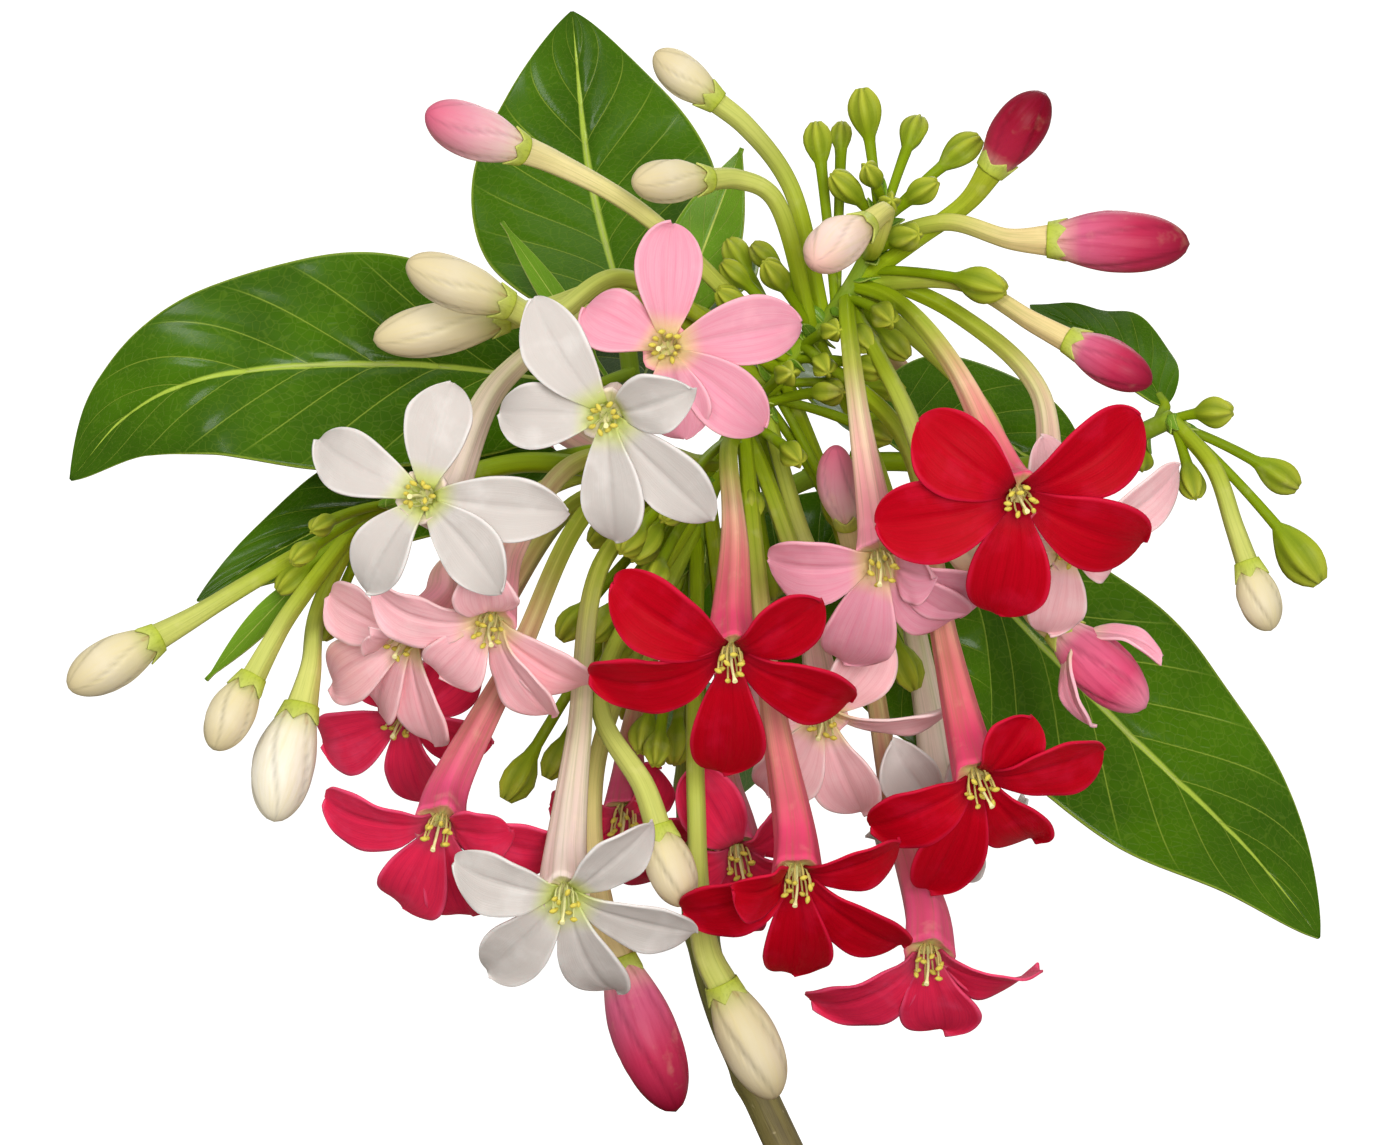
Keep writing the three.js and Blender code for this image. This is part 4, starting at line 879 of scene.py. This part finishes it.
def build_soil(sizes, colours):
    bm = start()
    # The mix below its top, as (radius, height), then rings over the top that close in on the middle
    below = [(0, 6.3), (39.4, 6.3), (52.6, 90), (53.1, SOIL_EDGE)]
    last, outer, rings = len(below) - 1, below[-1][0], 44

    def shape(u, v):
        row = round(v * (rings + last))
        radius = below[row][0] if row <= last else outer * (1 - (row - last) / rings)
        x, y = radius * math.cos(2 * math.pi * u), radius * math.sin(2 * math.pi * u)
        if row <= last:
            return MM * Vector((x, y, below[row][1]))
        blend_in = min(1.0, (outer - radius) / 4)
        return MM * Vector((x, y, SOIL_EDGE * (1 - blend_in) + soil_height(x, y) * blend_in))

    sheet(bm, 140, rings + last, shape, wrapped=True)
    earth = soil_finish("Potting mix", colours.soil, linear("#5B4430"))
    finish_piece("potting_mix", bm, [earth], ["soil"], "potting_soil")

    rng = random.Random(11)
    bm = start()
    for _ in range(sizes.crumbs):
        radius, turn = CRUMB_CIRCLE * math.sqrt(rng.random()), rng.uniform(0, 2 * math.pi)
        x, y = radius * math.cos(turn), radius * math.sin(turn)
        size = sizes.crumb * rng.uniform(0.22, 0.5) * (1.4 if rng.random() < 0.12 else 1)
        grains = bmesh.ops.create_icosphere(bm, subdivisions=2, radius=size)["verts"]
        stretch = Vector((rng.uniform(0.7, 1.5), rng.uniform(0.5, 1.1), rng.uniform(0.4, 0.8)))
        axis = Vector((rng.random(), rng.random(), rng.random() + 0.1)).normalized()
        turned_by = Quaternion(axis, rng.uniform(0, 6))
        spot = MM * Vector((x, y, soil_height(x, y) + 0.15))
        seed = Vector((rng.uniform(0, 50), rng.uniform(0, 50), 0))
        kind = 1 if rng.random() < 0.3 else 0
        for vert in grains:
            bulge = 1 + 0.35 * noise.noise(vert.co / size * 1.3 + seed)
            vert.co = spot + turned_by @ Vector([a * b * bulge for a, b in zip(vert.co, stretch)])
            for face in vert.link_faces:
                face.smooth = True
                face.material_index = kind
    chips = soil_finish("Bark chips", linear("#5A3B22"), linear("#8A6238"))
    finish_piece("soil_crumbs", bm, [earth, chips], (), "potting_soil")


# Stems and stalks


def ridge_wave(u):
    """1 on a stalk's ridges and -1 in its furrows."""
    return math.cos(2 * math.pi * RIDGES * u)


def stalk_tint(colours):
    """Young green that turns duller and fresher by turns along a stalk."""
    young, aged = tuple(colours.green), linear("#738B22")
    return lambda share, u: mixed(young, aged, 0.5 + 0.5 * math.sin(share * 9))


def bloom_route(bloom):
    """The way of a flower's tube from the stem to its mouth, straight at the end."""
    root, *passed = bloom["tube"]
    mouth, facing = seen(bloom["mouth"]), towards(bloom["facing"])
    points = [CARRIERS["main"].nearest(seen(root)), *map(seen, passed)]
    points += [mouth - facing * TUBE_STRAIGHT * MM, mouth + facing * TUBE_LIP * MM]
    return Route(points)


def bloom_tube_radius(share):
    return MM * (TUBE_ROOT_RADIUS + 0.7 * share + TUBE_FLARE * max(0.0, (share - 0.5) / 0.5) ** 1.6)


def bud_route(bud):
    base = seen(bud["base"])
    heading = (seen(bud["tip"]) - base).normalized()
    carrier = CARRIERS[bud.get("spray", "main")]
    return Route([
        carrier.nearest(seen(bud["root"])), seen(bud["bend"]), base - heading * BUD_NECK_RUN * MM, base,
    ])


def bud_tube_radius(bud):
    flare = BUD_NECK * bud["width"] - TUBE_ROOT_RADIUS - 0.4
    return lambda share: MM * (
        TUBE_ROOT_RADIUS + 0.4 * share + flare * max(0.0, (share - 0.7) / 0.3) ** 1.5
    )


def add_budlet(bm, carrier, budlet, colours):
    """A small ribbed green bud with the thin stalk it grows on."""
    root, tip, width = budlet
    start_at, end_at = carrier.nearest(seen(root)), seen(tip)
    reach = (end_at - start_at).length / MM
    middle = start_at.lerp(end_at, 0.5) + UP * 0.08 * reach * MM
    route = Route([bowed(start_at, middle, end_at, t) for t in (0, 0.2, 0.4, 0.6, 0.8, 1)])
    egg = min(0.6, 1.7 * width / reach)

    def inside(share):
        return clamped((share - (1 - egg)) / egg)

    def radius(share):
        held = inside(share)
        if held <= 0:
            return MM * (0.78 + 0.17 * min(1.0, share / (1 - egg)) ** 3)
        return MM * max(0.95 - 0.6 * held, width / 2 * math.sin(math.pi * (0.1 + 0.82 * held**1.15)) ** 0.8)

    def relief(share, u):
        held = inside(share)
        return 1 + (0.1 + 0.32 * held**2) * ridge_wave(u) * min(1.0, 4 * held)

    pale, deep = linear("#B0B43A"), linear("#566E0A")

    def tint(share, u):
        held = inside(share)
        body = mixed(mixed(colours.green, deep, 0.25), pale, held)
        # In the furrows between its ridges the bud is darkened towards the deep green: painted shade
        return mixed(body, deep, 0.55 * min(1.0, 3 * held) * (0.5 - 0.5 * ridge_wave(u)))

    ringed(bm, route, 28, 20, radius, tint, relief=relief)


def add_bud_tube(bm, bud, colours):
    middle, below_bud = map(linear, BUD_TUBE_SHADES[bud["colour"]])
    stops = [(0.0, colours.green), (0.4, middle), (0.8, below_bud)]

    def tint(share, u):
        return graded(stops, min(0.8, max(0, share)))

    ringed(bm, bud_route(bud), 44, 20, bud_tube_radius(bud), tint, ridge=0.07)


def add_bloom_tube(bm, bloom, colours):
    middle, mouth, flush = map(linear, TUBE_SHADES[bloom["colour"]])
    stops = [
        (0.0, colours.green), (0.22, linear("#94A41C")), (0.4, linear("#B6B852")), (0.58, middle),
        (0.74, mixed(middle, mouth, 0.65)), (0.9, mouth),
        (1.01, mouth), (1.03, linear("#D9D98C")), (1.1, colours.throat),
    ]

    def tint(share, u):
        ridge = 0.5 + 0.5 * ridge_wave(u)
        shade = mixed(colours.green, flush, (share - 0.35) / 0.25)
        return mixed(graded(stops, max(0.0, share)), shade, 0.42 * (1 - ridge))

    ringed(bm, bloom_route(bloom), 52, 25, bloom_tube_radius, tint, ridge=0.09, cup=2.6 * MM)


def build_stalks(colours):
    living = tinted_finish("Living green", linear("#5F7410"))
    vine = CARRIERS["main"]

    bm = start()
    lower = Route([vine.at(STEM_SHARE * i / 14) for i in range(15)])

    def stem_radius(share):
        knots = sum(math.exp(-(((share - k) / 0.018) ** 2)) for k in (0.2, 0.42, 0.63, 0.82))
        return MM * (STEM_RADIUS_SOIL + (STEM_RADIUS_TOP - STEM_RADIUS_SOIL) * share + 0.45 * knots)

    ringed(bm, lower, 150, 22, stem_radius, ridge=0.035, ridges=7)
    bark = bark_finish("Young bark", colours.bark, colours.green)
    finish_piece("vine", bm, [bark], ["vine_stem"], "vine_bark")

    bm = start()
    gap = 0.3 * MM / vine.length
    upper = Route([vine.at(STEM_SHARE + gap + (1 - STEM_SHARE - gap) * i / 9) for i in range(10)])
    ringed(
        bm, upper, 90, 18, lambda share: MM * STEM_RADIUS_TOP * (1 - 0.35 * share), stalk_tint(colours),
        ridge=0.06,
    )
    for bloom in BLOOMS:
        add_bloom_tube(bm, bloom, colours)
    for bud in BUDS:
        if "spray" not in bud:
            add_bud_tube(bm, bud, colours)
    for budlet in BUDLETS["main"]:
        add_budlet(bm, vine, budlet, colours)
    finish_piece("flower_tubes", bm, [living], ["flower_stalk"], "green_shoot")

    # Each side shoot, with the buds that it carries
    for node, side, key in (
        ("shoot_left", "left", None),
        ("shoot_right", "right", "right"),
        ("bud_spray_left", "spray", "left"),
    ):
        bm = start()
        route = Route([seen(p) for p in SHOOTS[side]])
        ringed(
            bm, route, 70, 16, lambda share: MM * SHOOT_RADIUS * (1 - 0.12 * share), stalk_tint(colours),
            ridge=0.06,
        )
        for bud in BUDS:
            if key and bud.get("spray") == key:
                add_bud_tube(bm, bud, colours)
        for budlet in BUDLETS.get(key, ()):
            add_budlet(bm, route, budlet, colours)
        finish_piece(node + "_green", bm, [living], [node], "green_shoot")


# Flowers


def petal_width(share, point):
    """A petal's width along it, as a part of the widest. Point is 0 for a round tip, 1 for a sharp one."""
    base = 0.22 + 0.78 * math.sin(math.pi / 2 * min(1.0, share / 0.6))
    left = max(0.0, 1 - max(0.0, (share - 0.6) / 0.4) ** (2.2 - 0.5 * point))
    return base * max(left ** (0.5 + 0.14 * point), 0.04)


def petal_tip(place, facing, mouth):
    """The point of the flower's own plane that is seen at the tip's place."""
    across, down, *extra = place
    near = seen((across, down))
    ray = seen((across, down, 1)) - near
    forward = (mouth - near).dot(facing) / ray.dot(facing)
    return near + ray * (forward + (extra[0] if extra else 0)) - facing * PETAL_REFLEX * MM


def petal_shape(base, tip, facing, width, point, rng):
    """A petal's blade, arched and cupped, with a ripple, a curl and a twist of its own."""
    along = tip - base
    length = along.length
    along.normalize()
    up = (facing - along * facing.dot(along)).normalized()
    aside = up.cross(along)
    ripple, phase = rng.uniform(0.35, 0.8) * MM, rng.uniform(0, 6)
    skew, curl, twist = rng.uniform(-0.08, 0.08), rng.uniform(-0.2, 1.8), rng.uniform(-0.3, 0.3)
    sway = rng.uniform(-0.05, 0.05) * length

    def shape(u, v):
        share = 1 - (1 - v) ** 1.5
        across = 1 - 2 * u
        half = width * MM / 2 * petal_width(share, point) * (1 + skew * across)
        rise = PETAL_ARCH * length * 4 * share * (1 - share) + PETAL_CUP * half * across * across
        rise += PETAL_OVERLAP * MM * across * min(1.0, share * 5)
        rise += ripple * across * across * math.sin(8 * share + phase) * share
        rise += 0.25 * ripple * math.sin(17 * share + 5 * across + phase) * abs(across) ** 3
        rise += twist * half * across * share**2
        rise -= 0.45 * MM * math.exp(-((across / 0.12) ** 2)) * math.sin(math.pi * share)
        rise -= 1.7 * MM * math.exp(-12 * share) + curl * MM * max(0.0, share - 0.6) ** 2 * 6
        bend = sway * math.sin(math.pi * share)
        return base + along * (length * share) + aside * (half * across + bend) + up * rise

    return shape


def build_blooms(sizes, colours):
    sides, pale = {}, {}
    for name, shades in PETAL_SHADES.items():
        rim, streak, pale[name], throat = map(linear, shades)
        sides[name] = [
            petal_finish(f"Petal face {name}", getattr(colours, name), streak, rim, throat, 0.16),
            petal_finish(f"Petal back {name}", pale[name], streak, rim, linear("#D5D29A"), 0.3),
        ]
    tissue = tinted_finish("Stamens and style", linear("#C9B040"), 0.5, 0.00008, 0.1)
    anther, style_foot, style_head = map(linear, ("#D0C050", "#DDE39A", "#EFE7A8"))

    for bloom in BLOOMS:
        name, colour = bloom["name"], bloom["colour"]
        rng = random.Random(name)
        mouth, facing = seen(bloom["mouth"]), towards(bloom["facing"])
        bm = start()
        for place in bloom["tips"]:
            tip = petal_tip(place, facing, mouth)
            out = tip - mouth
            out = (out - facing * out.dot(facing)).normalized()
            base = mouth + facing * THROAT_DEPTH * 0.62 * MM + out * 1.6 * MM
            turned_by = math.radians(place[3]) if len(place) > 3 else 0
            face = Quaternion((tip - base).normalized(), turned_by) @ facing
            sheet(bm, 18, 26, petal_shape(base, tip, face, bloom["width"], PETAL_POINT[colour], rng))
        finish_piece(
            name + "_petals", bm, sides[LIGHTENED_PINKS.get(name, colour)], [name], "petal_" + colour,
            solid=sizes.petal_thickness,
        )

        bm = start()
        side = UP.cross(facing).normalized()
        thread = mixed(pale[colour], linear("#D2D67A"), 0.8)
        for i in range(STAMENS):
            outward = Quaternion(facing, i * 2 * math.pi / STAMENS + rng.uniform(-0.12, 0.12)) @ side
            reach = sizes.stamen_length * (1.0 if i % 2 else 0.62) * rng.uniform(0.9, 1.08)
            foot = mouth - facing * TUBE_LIP * MM + outward * 1.1 * MM
            head = foot + facing * (reach + TUBE_LIP * MM) + outward * rng.uniform(0.5, 1.2) * MM
            filament = Route([foot, foot.lerp(head, 0.5) + outward * 0.25 * MM, head])
            ringed(bm, filament, 6, 6, lambda share: 0.17 * MM, lambda share, u: thread)
            lean = (outward * rng.uniform(-1, 1) + facing * 0.3 + side * rng.uniform(-1, 1)).normalized()
            ringed(
                bm, Route([head - lean * 0.62 * MM, head + lean * 0.62 * MM]), 6, 8,
                lambda share: 0.4 * MM * math.sin(math.pi * min(0.97, max(0.05, share))) ** 0.5,
                lambda share, u: anther,
            )
        bend = (side * rng.uniform(-1, 1) - UP * 0.6) * 1.1 * MM
        foot = mouth - facing * STYLE_FOOT * MM
        middle = mouth + facing * sizes.style_length * 0.55 + bend * 0.2
        head = mouth + facing * sizes.style_length + bend
        ringed(
            bm, Route([foot, middle, head]), 14, 8,
            lambda share: MM * (0.22 + 0.2 * max(0.0, share - 0.86) / 0.14),
            lambda share, u: mixed(style_foot, style_head, share),
        )
        finish_piece(name + "_stamens", bm, [tissue], [name], "petal_" + colour)


# Buds


def bud_outline(width):
    """A bud's radius along its length: it swells from the tube's neck and closes in a blunt tip."""

    def radius(share):
        held = clamped(share)
        body = 2 * BUD_NECK + (1 - 2 * BUD_NECK) * math.sin(math.pi / 2 * min(1.0, held / 0.46))
        return width * MM / 2 * body * (1 - max(0.0, (held - 0.46) / 0.54) ** 2.4) ** 0.6

    return radius


def build_buds():
    skins = {
        "bud_cream": tinted_finish("Cream bud", linear("#D3C48C"), 0.42),
        "bud_pink": tinted_finish("Pink bud", linear("#D2708A"), 0.42),
        "bud_rose": tinted_finish("Rose bud", linear("#96183C"), 0.42),
    }
    seam, cup_foot, cup_rim = map(linear, ("#8C5A3C", "#A9B63A", "#B6BE5E"))
    cups = start()
    for bud in BUDS:
        base, tip = seen(bud["base"]), seen(bud["tip"])
        outline = bud_outline(bud["width"])
        stops = list(zip((0.0, 0.22, 0.6, 1.0), map(linear, BUD_SHADES[bud["colour"]])))
        opening = 1.0
        if "petals" in bud:
            stops = list(zip((0.0, 0.22, 0.7, 1.0), map(linear, OPENING_SHADES)))
            opening = 1.7

        def lap(share, u):
            """The place across one of the five petals that wind round the bud, from 0 to 1."""
            return (5 * (u + 0.16 * share)) % 1

        def tint(share, u):
            held = clamped(share)
            edge = min(lap(held, u), 1 - lap(held, u))
            skin = graded(stops, held)
            # Along the grooves between the petals the skin is darkened towards black, painted shade; near
            # the neck the grooves take the brown seam colour
            groove = seam if held < 0.1 else mixed(skin, (0, 0, 0, 1), 0.35)
            return mixed(groove, skin, 0.25 + 0.75 * min(1.0, edge / 0.1))

        def relief(share, u):
            step = lap(share, u)
            groove = math.exp(-((min(step, 1 - step) / 0.07) ** 2))
            return 1 + opening * math.sin(math.pi * min(1.0, share)) * (0.07 * (step - 0.5) - 0.06 * groove)

        bm = start()
        sway = (tip - base).cross(UP).normalized() * 0.05 * (tip - base).length
        route = Route([base, base.lerp(tip, 0.5) + sway, tip])
        ringed(bm, route, 34, 50, outline, tint, relief=relief)
        slot = BUD_SLOT[bud["colour"]]
        finish_piece(bud["name"] + "_skin", bm, [skins[slot]], [bud["name"]], slot)
        if "petals" in bud:
            bm = start()
            for petal in bud["petals"]:
                foot, end, face = seen(petal["foot"]), seen(petal["tip"]), towards(petal["facing"])
                sheet(bm, 14, 24, petal_shape(foot, end, face, petal["width"], 1, random.Random(3)))
            outer = map(linear, ("#F2A8B8", "#E0708E", "#F8CBD3", "#E9D9B0"))
            inner = map(linear, ("#F6C6CC", "#E48AA0", "#FBE0E0", "#E9D9B0"))
            finishes = [
                petal_finish("Outer petal face", *outer, 0.3),
                petal_finish("Outer petal back", *inner, 0.3),
            ]
            finish_piece(
                bud["name"] + "_outer_petals", bm, finishes, [bud["name"]], "petal_pink",
                solid=OUTER_PETAL_THICKNESS * MM,
            )

        axis = (tip - base).normalized()
        side = axis.orthogonal().normalized()
        other = axis.cross(side)
        length = (tip - base).length
        neck = bud_tube_radius(bud)(1.0)

        def cup(u, v):
            tooth = 1 - abs(2 * ((5 * u) % 1) - 1)
            height = v * (0.4 + 1.5 * tooth**1.4) * MM / length
            radius = max(neck, outline(height)) + 0.1 * MM * (1 + v * tooth)
            angle = -2 * math.pi * u
            outward = side * math.cos(angle) + other * math.sin(angle)
            return base + axis * (height * length - 1.2 * MM * (1 - v)) + outward * radius

        sheet(cups, 50, 8, cup, lambda u, v: mixed(cup_foot, cup_rim, v))
    bmesh.ops.remove_doubles(cups, verts=cups.verts, dist=WELD)
    sepals = tinted_finish("Sepals", linear("#6C7A1E"))
    finish_piece("bud_calyxes", cups, [sepals], (), "green_shoot", solid=SEPAL_THICKNESS * MM)


# Leaves


def leaf_width(share):
    """A leaf's width along it, as a part of the widest."""
    held = clamped(share)
    body = max(0.0, math.sin(math.pi * held**0.85)) ** 0.75
    return max(0.012, body * (1 - 0.25 * held**4))


def side_vein(share, u):
    """Distance to the nearest side vein, from 0 on it to 0.5 midway, as the leaf's finish draws it."""
    return abs((SIDE_VEINS * share - VEIN_SWEEP * abs(u - 0.5) ** VEIN_BEND + VEIN_START) % 1 - 0.5)


def add_leaf(bm, rib, facing, width, sizes, rng):
    """A leaf's blade along its rib, folded a little, waved at its margin and pressed in along its veins."""
    phase, turns = rng.uniform(0, 6), rng.uniform(2.2, 3.0)

    def shape(u, v):
        across = 1 - 2 * u
        here = rib.at(v)
        along = (rib.at(min(1, v + 0.01)) - rib.at(max(0, v - 0.01))).normalized()
        up = (facing - along * facing.dot(along)).normalized()
        aside = up.cross(along)
        half = width * MM / 2 * leaf_width(v)
        lift = 0.16 * half * abs(across) - 0.1 * half * across * across
        body = math.sin(math.pi * min(1, max(0, v)))
        wave = math.sin(2 * math.pi * turns * v + phase + (1.7 if across > 0 else 0))
        lift += sizes.leaf_wave * across * across * body * wave
        lift -= sizes.vein_depth * 1.6 * math.exp(-((across / 0.05) ** 2)) * body
        pressed = math.exp(-((side_vein(v, u) / 0.13) ** 2)) * (1 - abs(across) ** 3)
        lift -= sizes.vein_depth * pressed * body * min(1.0, width / 24)
        return here + aside * (half * across) + up * lift

    sheet(bm, 46, 120, shape)


def add_bract(bm, foot, onward, rng):
    """A small pointed scale that sheathes the foot of a stalk."""
    along = (onward - foot).normalized()
    outward = Quaternion(along, rng.uniform(0, 2 * math.pi)) @ along.orthogonal().normalized()
    aside = along.cross(outward)
    length, width = rng.uniform(3.2, 5.2) * MM, rng.uniform(1.8, 2.6) * MM
    lean = rng.uniform(0.12, 0.4)

    def shape(u, v):
        across = 1 - 2 * u
        half = width / 2 * max(0.03, math.sin(math.pi * (0.18 + 0.82 * v)) ** 0.8)
        away = 1.35 * MM + length * (lean * v**1.6 - 0.1 * v) - 0.35 * half * across * across
        return foot + along * (length * v) + aside * (half * across) + outward * away

    sheet(bm, 6, 10, shape)


def build_leaves(sizes, colours):
    face = leaf_finish("Leaf face", colours.leaf, linear("#264503"), colours.midrib, 0.07, 0.34)
    back = leaf_finish("Leaf back", colours.leaf_under, linear("#55793C"), linear("#B4C07C"), 0.22, 0.55)
    stalks = start()
    shades, under_rib = stalk_tint(colours), linear("#A9B860")
    for leaf in LEAVES:
        rng = random.Random(leaf["name"])
        rib = Route([seen(place) for place in leaf["rib"]])
        facing = towards(leaf["face"])
        bm = start()
        add_leaf(bm, rib, facing, leaf["width"], sizes, rng)
        finish_piece(
            leaf["name"] + "_blade", bm, [face, back], [leaf["name"]], "leaf_blade",
            solid=sizes.leaf_thickness,
        )
        root, origin = seen(leaf["root"]), rib.at(0)
        ringed(
            stalks, Route([root, root.lerp(origin, 0.5), origin, rib.at(0.08)]), 24, 12,
            lambda share: MM * PETIOLE_RADIUS * (1 - 0.35 * share), shades, ridge=0.05,
        )
        under = Route([rib.at(t) - facing * 0.55 * MM for t in (0.02, 0.2, 0.4, 0.6, 0.8, 0.93)])
        ringed(stalks, under, 40, 8, lambda share: MM * (0.62 - 0.5 * share), lambda share, u: under_rib)
    green = tinted_finish("Leaf stalks", linear("#6C6A24"))
    finish_piece("leaf_stalks", stalks, [green], (), "green_shoot")

    young = leaf_finish("Young leaf", linear("#6F9A22"), linear("#55801A"), linear("#C2CC66"), 0.12, 0.35)
    bm = start()
    up = Vector((0, -1, 0.2)).normalized()
    for entries in LEAFLETS.values():
        for root, tip, width in entries:
            first = seen(root)
            along = seen(tip) - first
            bow = along.length * 0.06
            aside = up.cross(along).normalized()

            def shape(u, v):
                across = 1 - 2 * u
                body = max(0.0, math.sin(math.pi * max(0.0, (v - 0.3) / 0.7) ** 0.8))
                half = MM * max(0.35, width / 2 * body)
                rise = 0.25 * half * abs(across) + bow * math.sin(math.pi * v) * 0.4
                return first + along * v + aside * (half * across) + up * rise

            sheet(bm, 16, 50, shape)
    finish_piece("young_leaves", bm, [young, young], (), "leaf_blade", solid=sizes.leaf_thickness)

    bm = start()
    rng = random.Random("bracts")
    feet = [(CARRIERS["main"], bloom["tube"][0], bloom["tube"][1]) for bloom in BLOOMS]
    feet += [(CARRIERS[bud.get("spray", "main")], bud["root"], bud["bend"]) for bud in BUDS]
    for key, carrier in CARRIERS.items():
        feet += [(carrier, root, tip) for root, tip, width in BUDLETS[key]]
    for carrier, root, onward in feet:
        add_bract(bm, carrier.nearest(seen(root)), seen(onward), rng)
    finish_piece("bracts", bm, [young, young], (), "leaf_blade", solid=BRACT_THICKNESS * MM)


# Stage


def build_stage():
    """The floor, lights and camera of the front view. Lights are (name, place, width, power)."""
    bm = bmesh.new()
    turned(bm, rounded([(0, 0), (3200, 0), (3600, 2600)], 700, 24), 96)
    for face in bm.faces:
        face.normal_flip()
    mesh = bpy.data.meshes.new("pale_floor")
    bm.to_mesh(mesh)
    bm.free()
    floor = bpy.data.objects.new("pale_floor", mesh)
    bpy.context.scene.collection.objects.link(floor)
    pale = Finish("Pale floor", 0.9, Emission_Color=(1, 1, 1, 1), Emission_Strength=0.74)
    cloud = pale.ramp(pale.noise(pale.local(), 3, 2), 0.3, 0.7)
    pale.colour(pale.mix(cloud, linear("#FBFBFA"), linear("#F6F6F5")))
    mesh.materials.append(pale.material)
    floor.visible_diffuse = floor.visible_glossy = False

    aim = MM * Vector((0, HEAD_PLANE_Y, VIEW_HEIGHT))
    for name, spot, size, power in (
        ("Key light", (-700, -1200, 1300), 0.42, 9), ("Front light", (250, -1500, 330), 0.6, 19),
        ("Back light", (400, 1300, 1300), 0.8, 6), ("Top light", (0, 0, 1700), 1.0, 4),
    ):
        data = bpy.data.lights.new(name, "AREA")
        data.energy, data.size = power, size
        light = bpy.data.objects.new(name, data)
        light.location = MM * Vector(spot)
        light.rotation_euler = (aim - light.location).to_track_quat("-Z", "Y").to_euler()
        bpy.context.scene.collection.objects.link(light)

    bpy.context.scene.view_settings.view_transform = "Standard"
    world = bpy.data.worlds.new("Soft sky")
    world.use_nodes = True
    world.node_tree.nodes["Background"].inputs[0].default_value = linear("#FFFCF7")
    world.node_tree.nodes["Background"].inputs[1].default_value = 0.42
    bpy.context.scene.world = world

    data = bpy.data.cameras.new("Front camera")
    data.sensor_width = SENSOR
    data.lens = SENSOR * VIEW_DISTANCE / (VIEW_SIZE[0] * GRID)
    data.clip_start, data.clip_end = 0.05, 50
    camera = bpy.data.objects.new("Front camera", data)
    camera.location = MM * Vector((0, HEAD_PLANE_Y - VIEW_DISTANCE, VIEW_HEIGHT))
    camera.rotation_euler = (math.pi / 2, 0, 0)
    bpy.context.scene.collection.objects.link(camera)
    bpy.context.scene.camera = camera


# Operators, panel and registration


class CREEPER_OT_pot(bpy.types.Operator):
    """Turns the clay pot and drills its drain holes"""

    bl_idname = "creeper.pot"
    bl_label = "Clay pot"

    def execute(self, context):
        build_pot(context.scene.creeper_colours)
        return {"FINISHED"}


class CREEPER_OT_soil(bpy.types.Operator):
    """Fills the pot with potting mix and loose crumbs"""

    bl_idname = "creeper.soil"
    bl_label = "Potting mix"

    def execute(self, context):
        build_soil(context.scene.creeper_sizes, context.scene.creeper_colours)
        return {"FINISHED"}


class CREEPER_OT_stalks(bpy.types.Operator):
    """Grows the stem, side shoots, flower tubes and small green buds"""

    bl_idname = "creeper.stalks"
    bl_label = "Stem and stalks"

    def execute(self, context):
        build_stalks(context.scene.creeper_colours)
        return {"FINISHED"}


class CREEPER_OT_blooms(bpy.types.Operator):
    """Opens the flowers with their petals, stamens and styles"""

    bl_idname = "creeper.blooms"
    bl_label = "Flowers"

    def execute(self, context):
        build_blooms(context.scene.creeper_sizes, context.scene.creeper_colours)
        return {"FINISHED"}


class CREEPER_OT_buds(bpy.types.Operator):
    """Sets the large buds in their toothed cups"""

    bl_idname = "creeper.buds"
    bl_label = "Buds"

    def execute(self, context):
        build_buds()
        return {"FINISHED"}


class CREEPER_OT_leaves(bpy.types.Operator):
    """Unfolds the veined leaves and the young ones"""

    bl_idname = "creeper.leaves"
    bl_label = "Leaves"

    def execute(self, context):
        build_leaves(context.scene.creeper_sizes, context.scene.creeper_colours)
        return {"FINISHED"}


class CREEPER_OT_stage(bpy.types.Operator):
    """Sets the pale floor, soft lights and front camera"""

    bl_idname = "creeper.stage"
    bl_label = "Stage"

    def execute(self, context):
        build_stage()
        return {"FINISHED"}


OPERATORS = (
    CREEPER_OT_pot, CREEPER_OT_soil, CREEPER_OT_stalks, CREEPER_OT_blooms, CREEPER_OT_buds,
    CREEPER_OT_leaves, CREEPER_OT_stage,
)


class CREEPER_PT_panel(bpy.types.Panel):
    """Lists the creeper's pieces, sizes and colours"""

    bl_label = "Potted creeper"
    bl_space_type = "VIEW_3D"
    bl_region_type = "UI"
    bl_category = "Creeper"

    def draw(self, context):
        for group in (context.scene.creeper_sizes, context.scene.creeper_colours):
            column = self.layout.column(align=True)
            for key in group.__annotations__:
                column.prop(group, key)
        for operator in OPERATORS:
            self.layout.operator(operator.bl_idname)


CLASSES = (CreeperSizes, CreeperColours, *OPERATORS, CREEPER_PT_panel)


def register():
    for cls in CLASSES:
        bpy.utils.register_class(cls)
    bpy.types.Scene.creeper_sizes = bpy.props.PointerProperty(type=CreeperSizes)
    bpy.types.Scene.creeper_colours = bpy.props.PointerProperty(type=CreeperColours)


def unregister():
    del bpy.types.Scene.creeper_colours
    del bpy.types.Scene.creeper_sizes
    for cls in reversed(CLASSES):
        bpy.utils.unregister_class(cls)


def main():
    register()
    for operator in OPERATORS:
        group, name = operator.bl_idname.split(".")
        getattr(getattr(bpy.ops, group), name)()


if __name__ == "__main__":
    main()
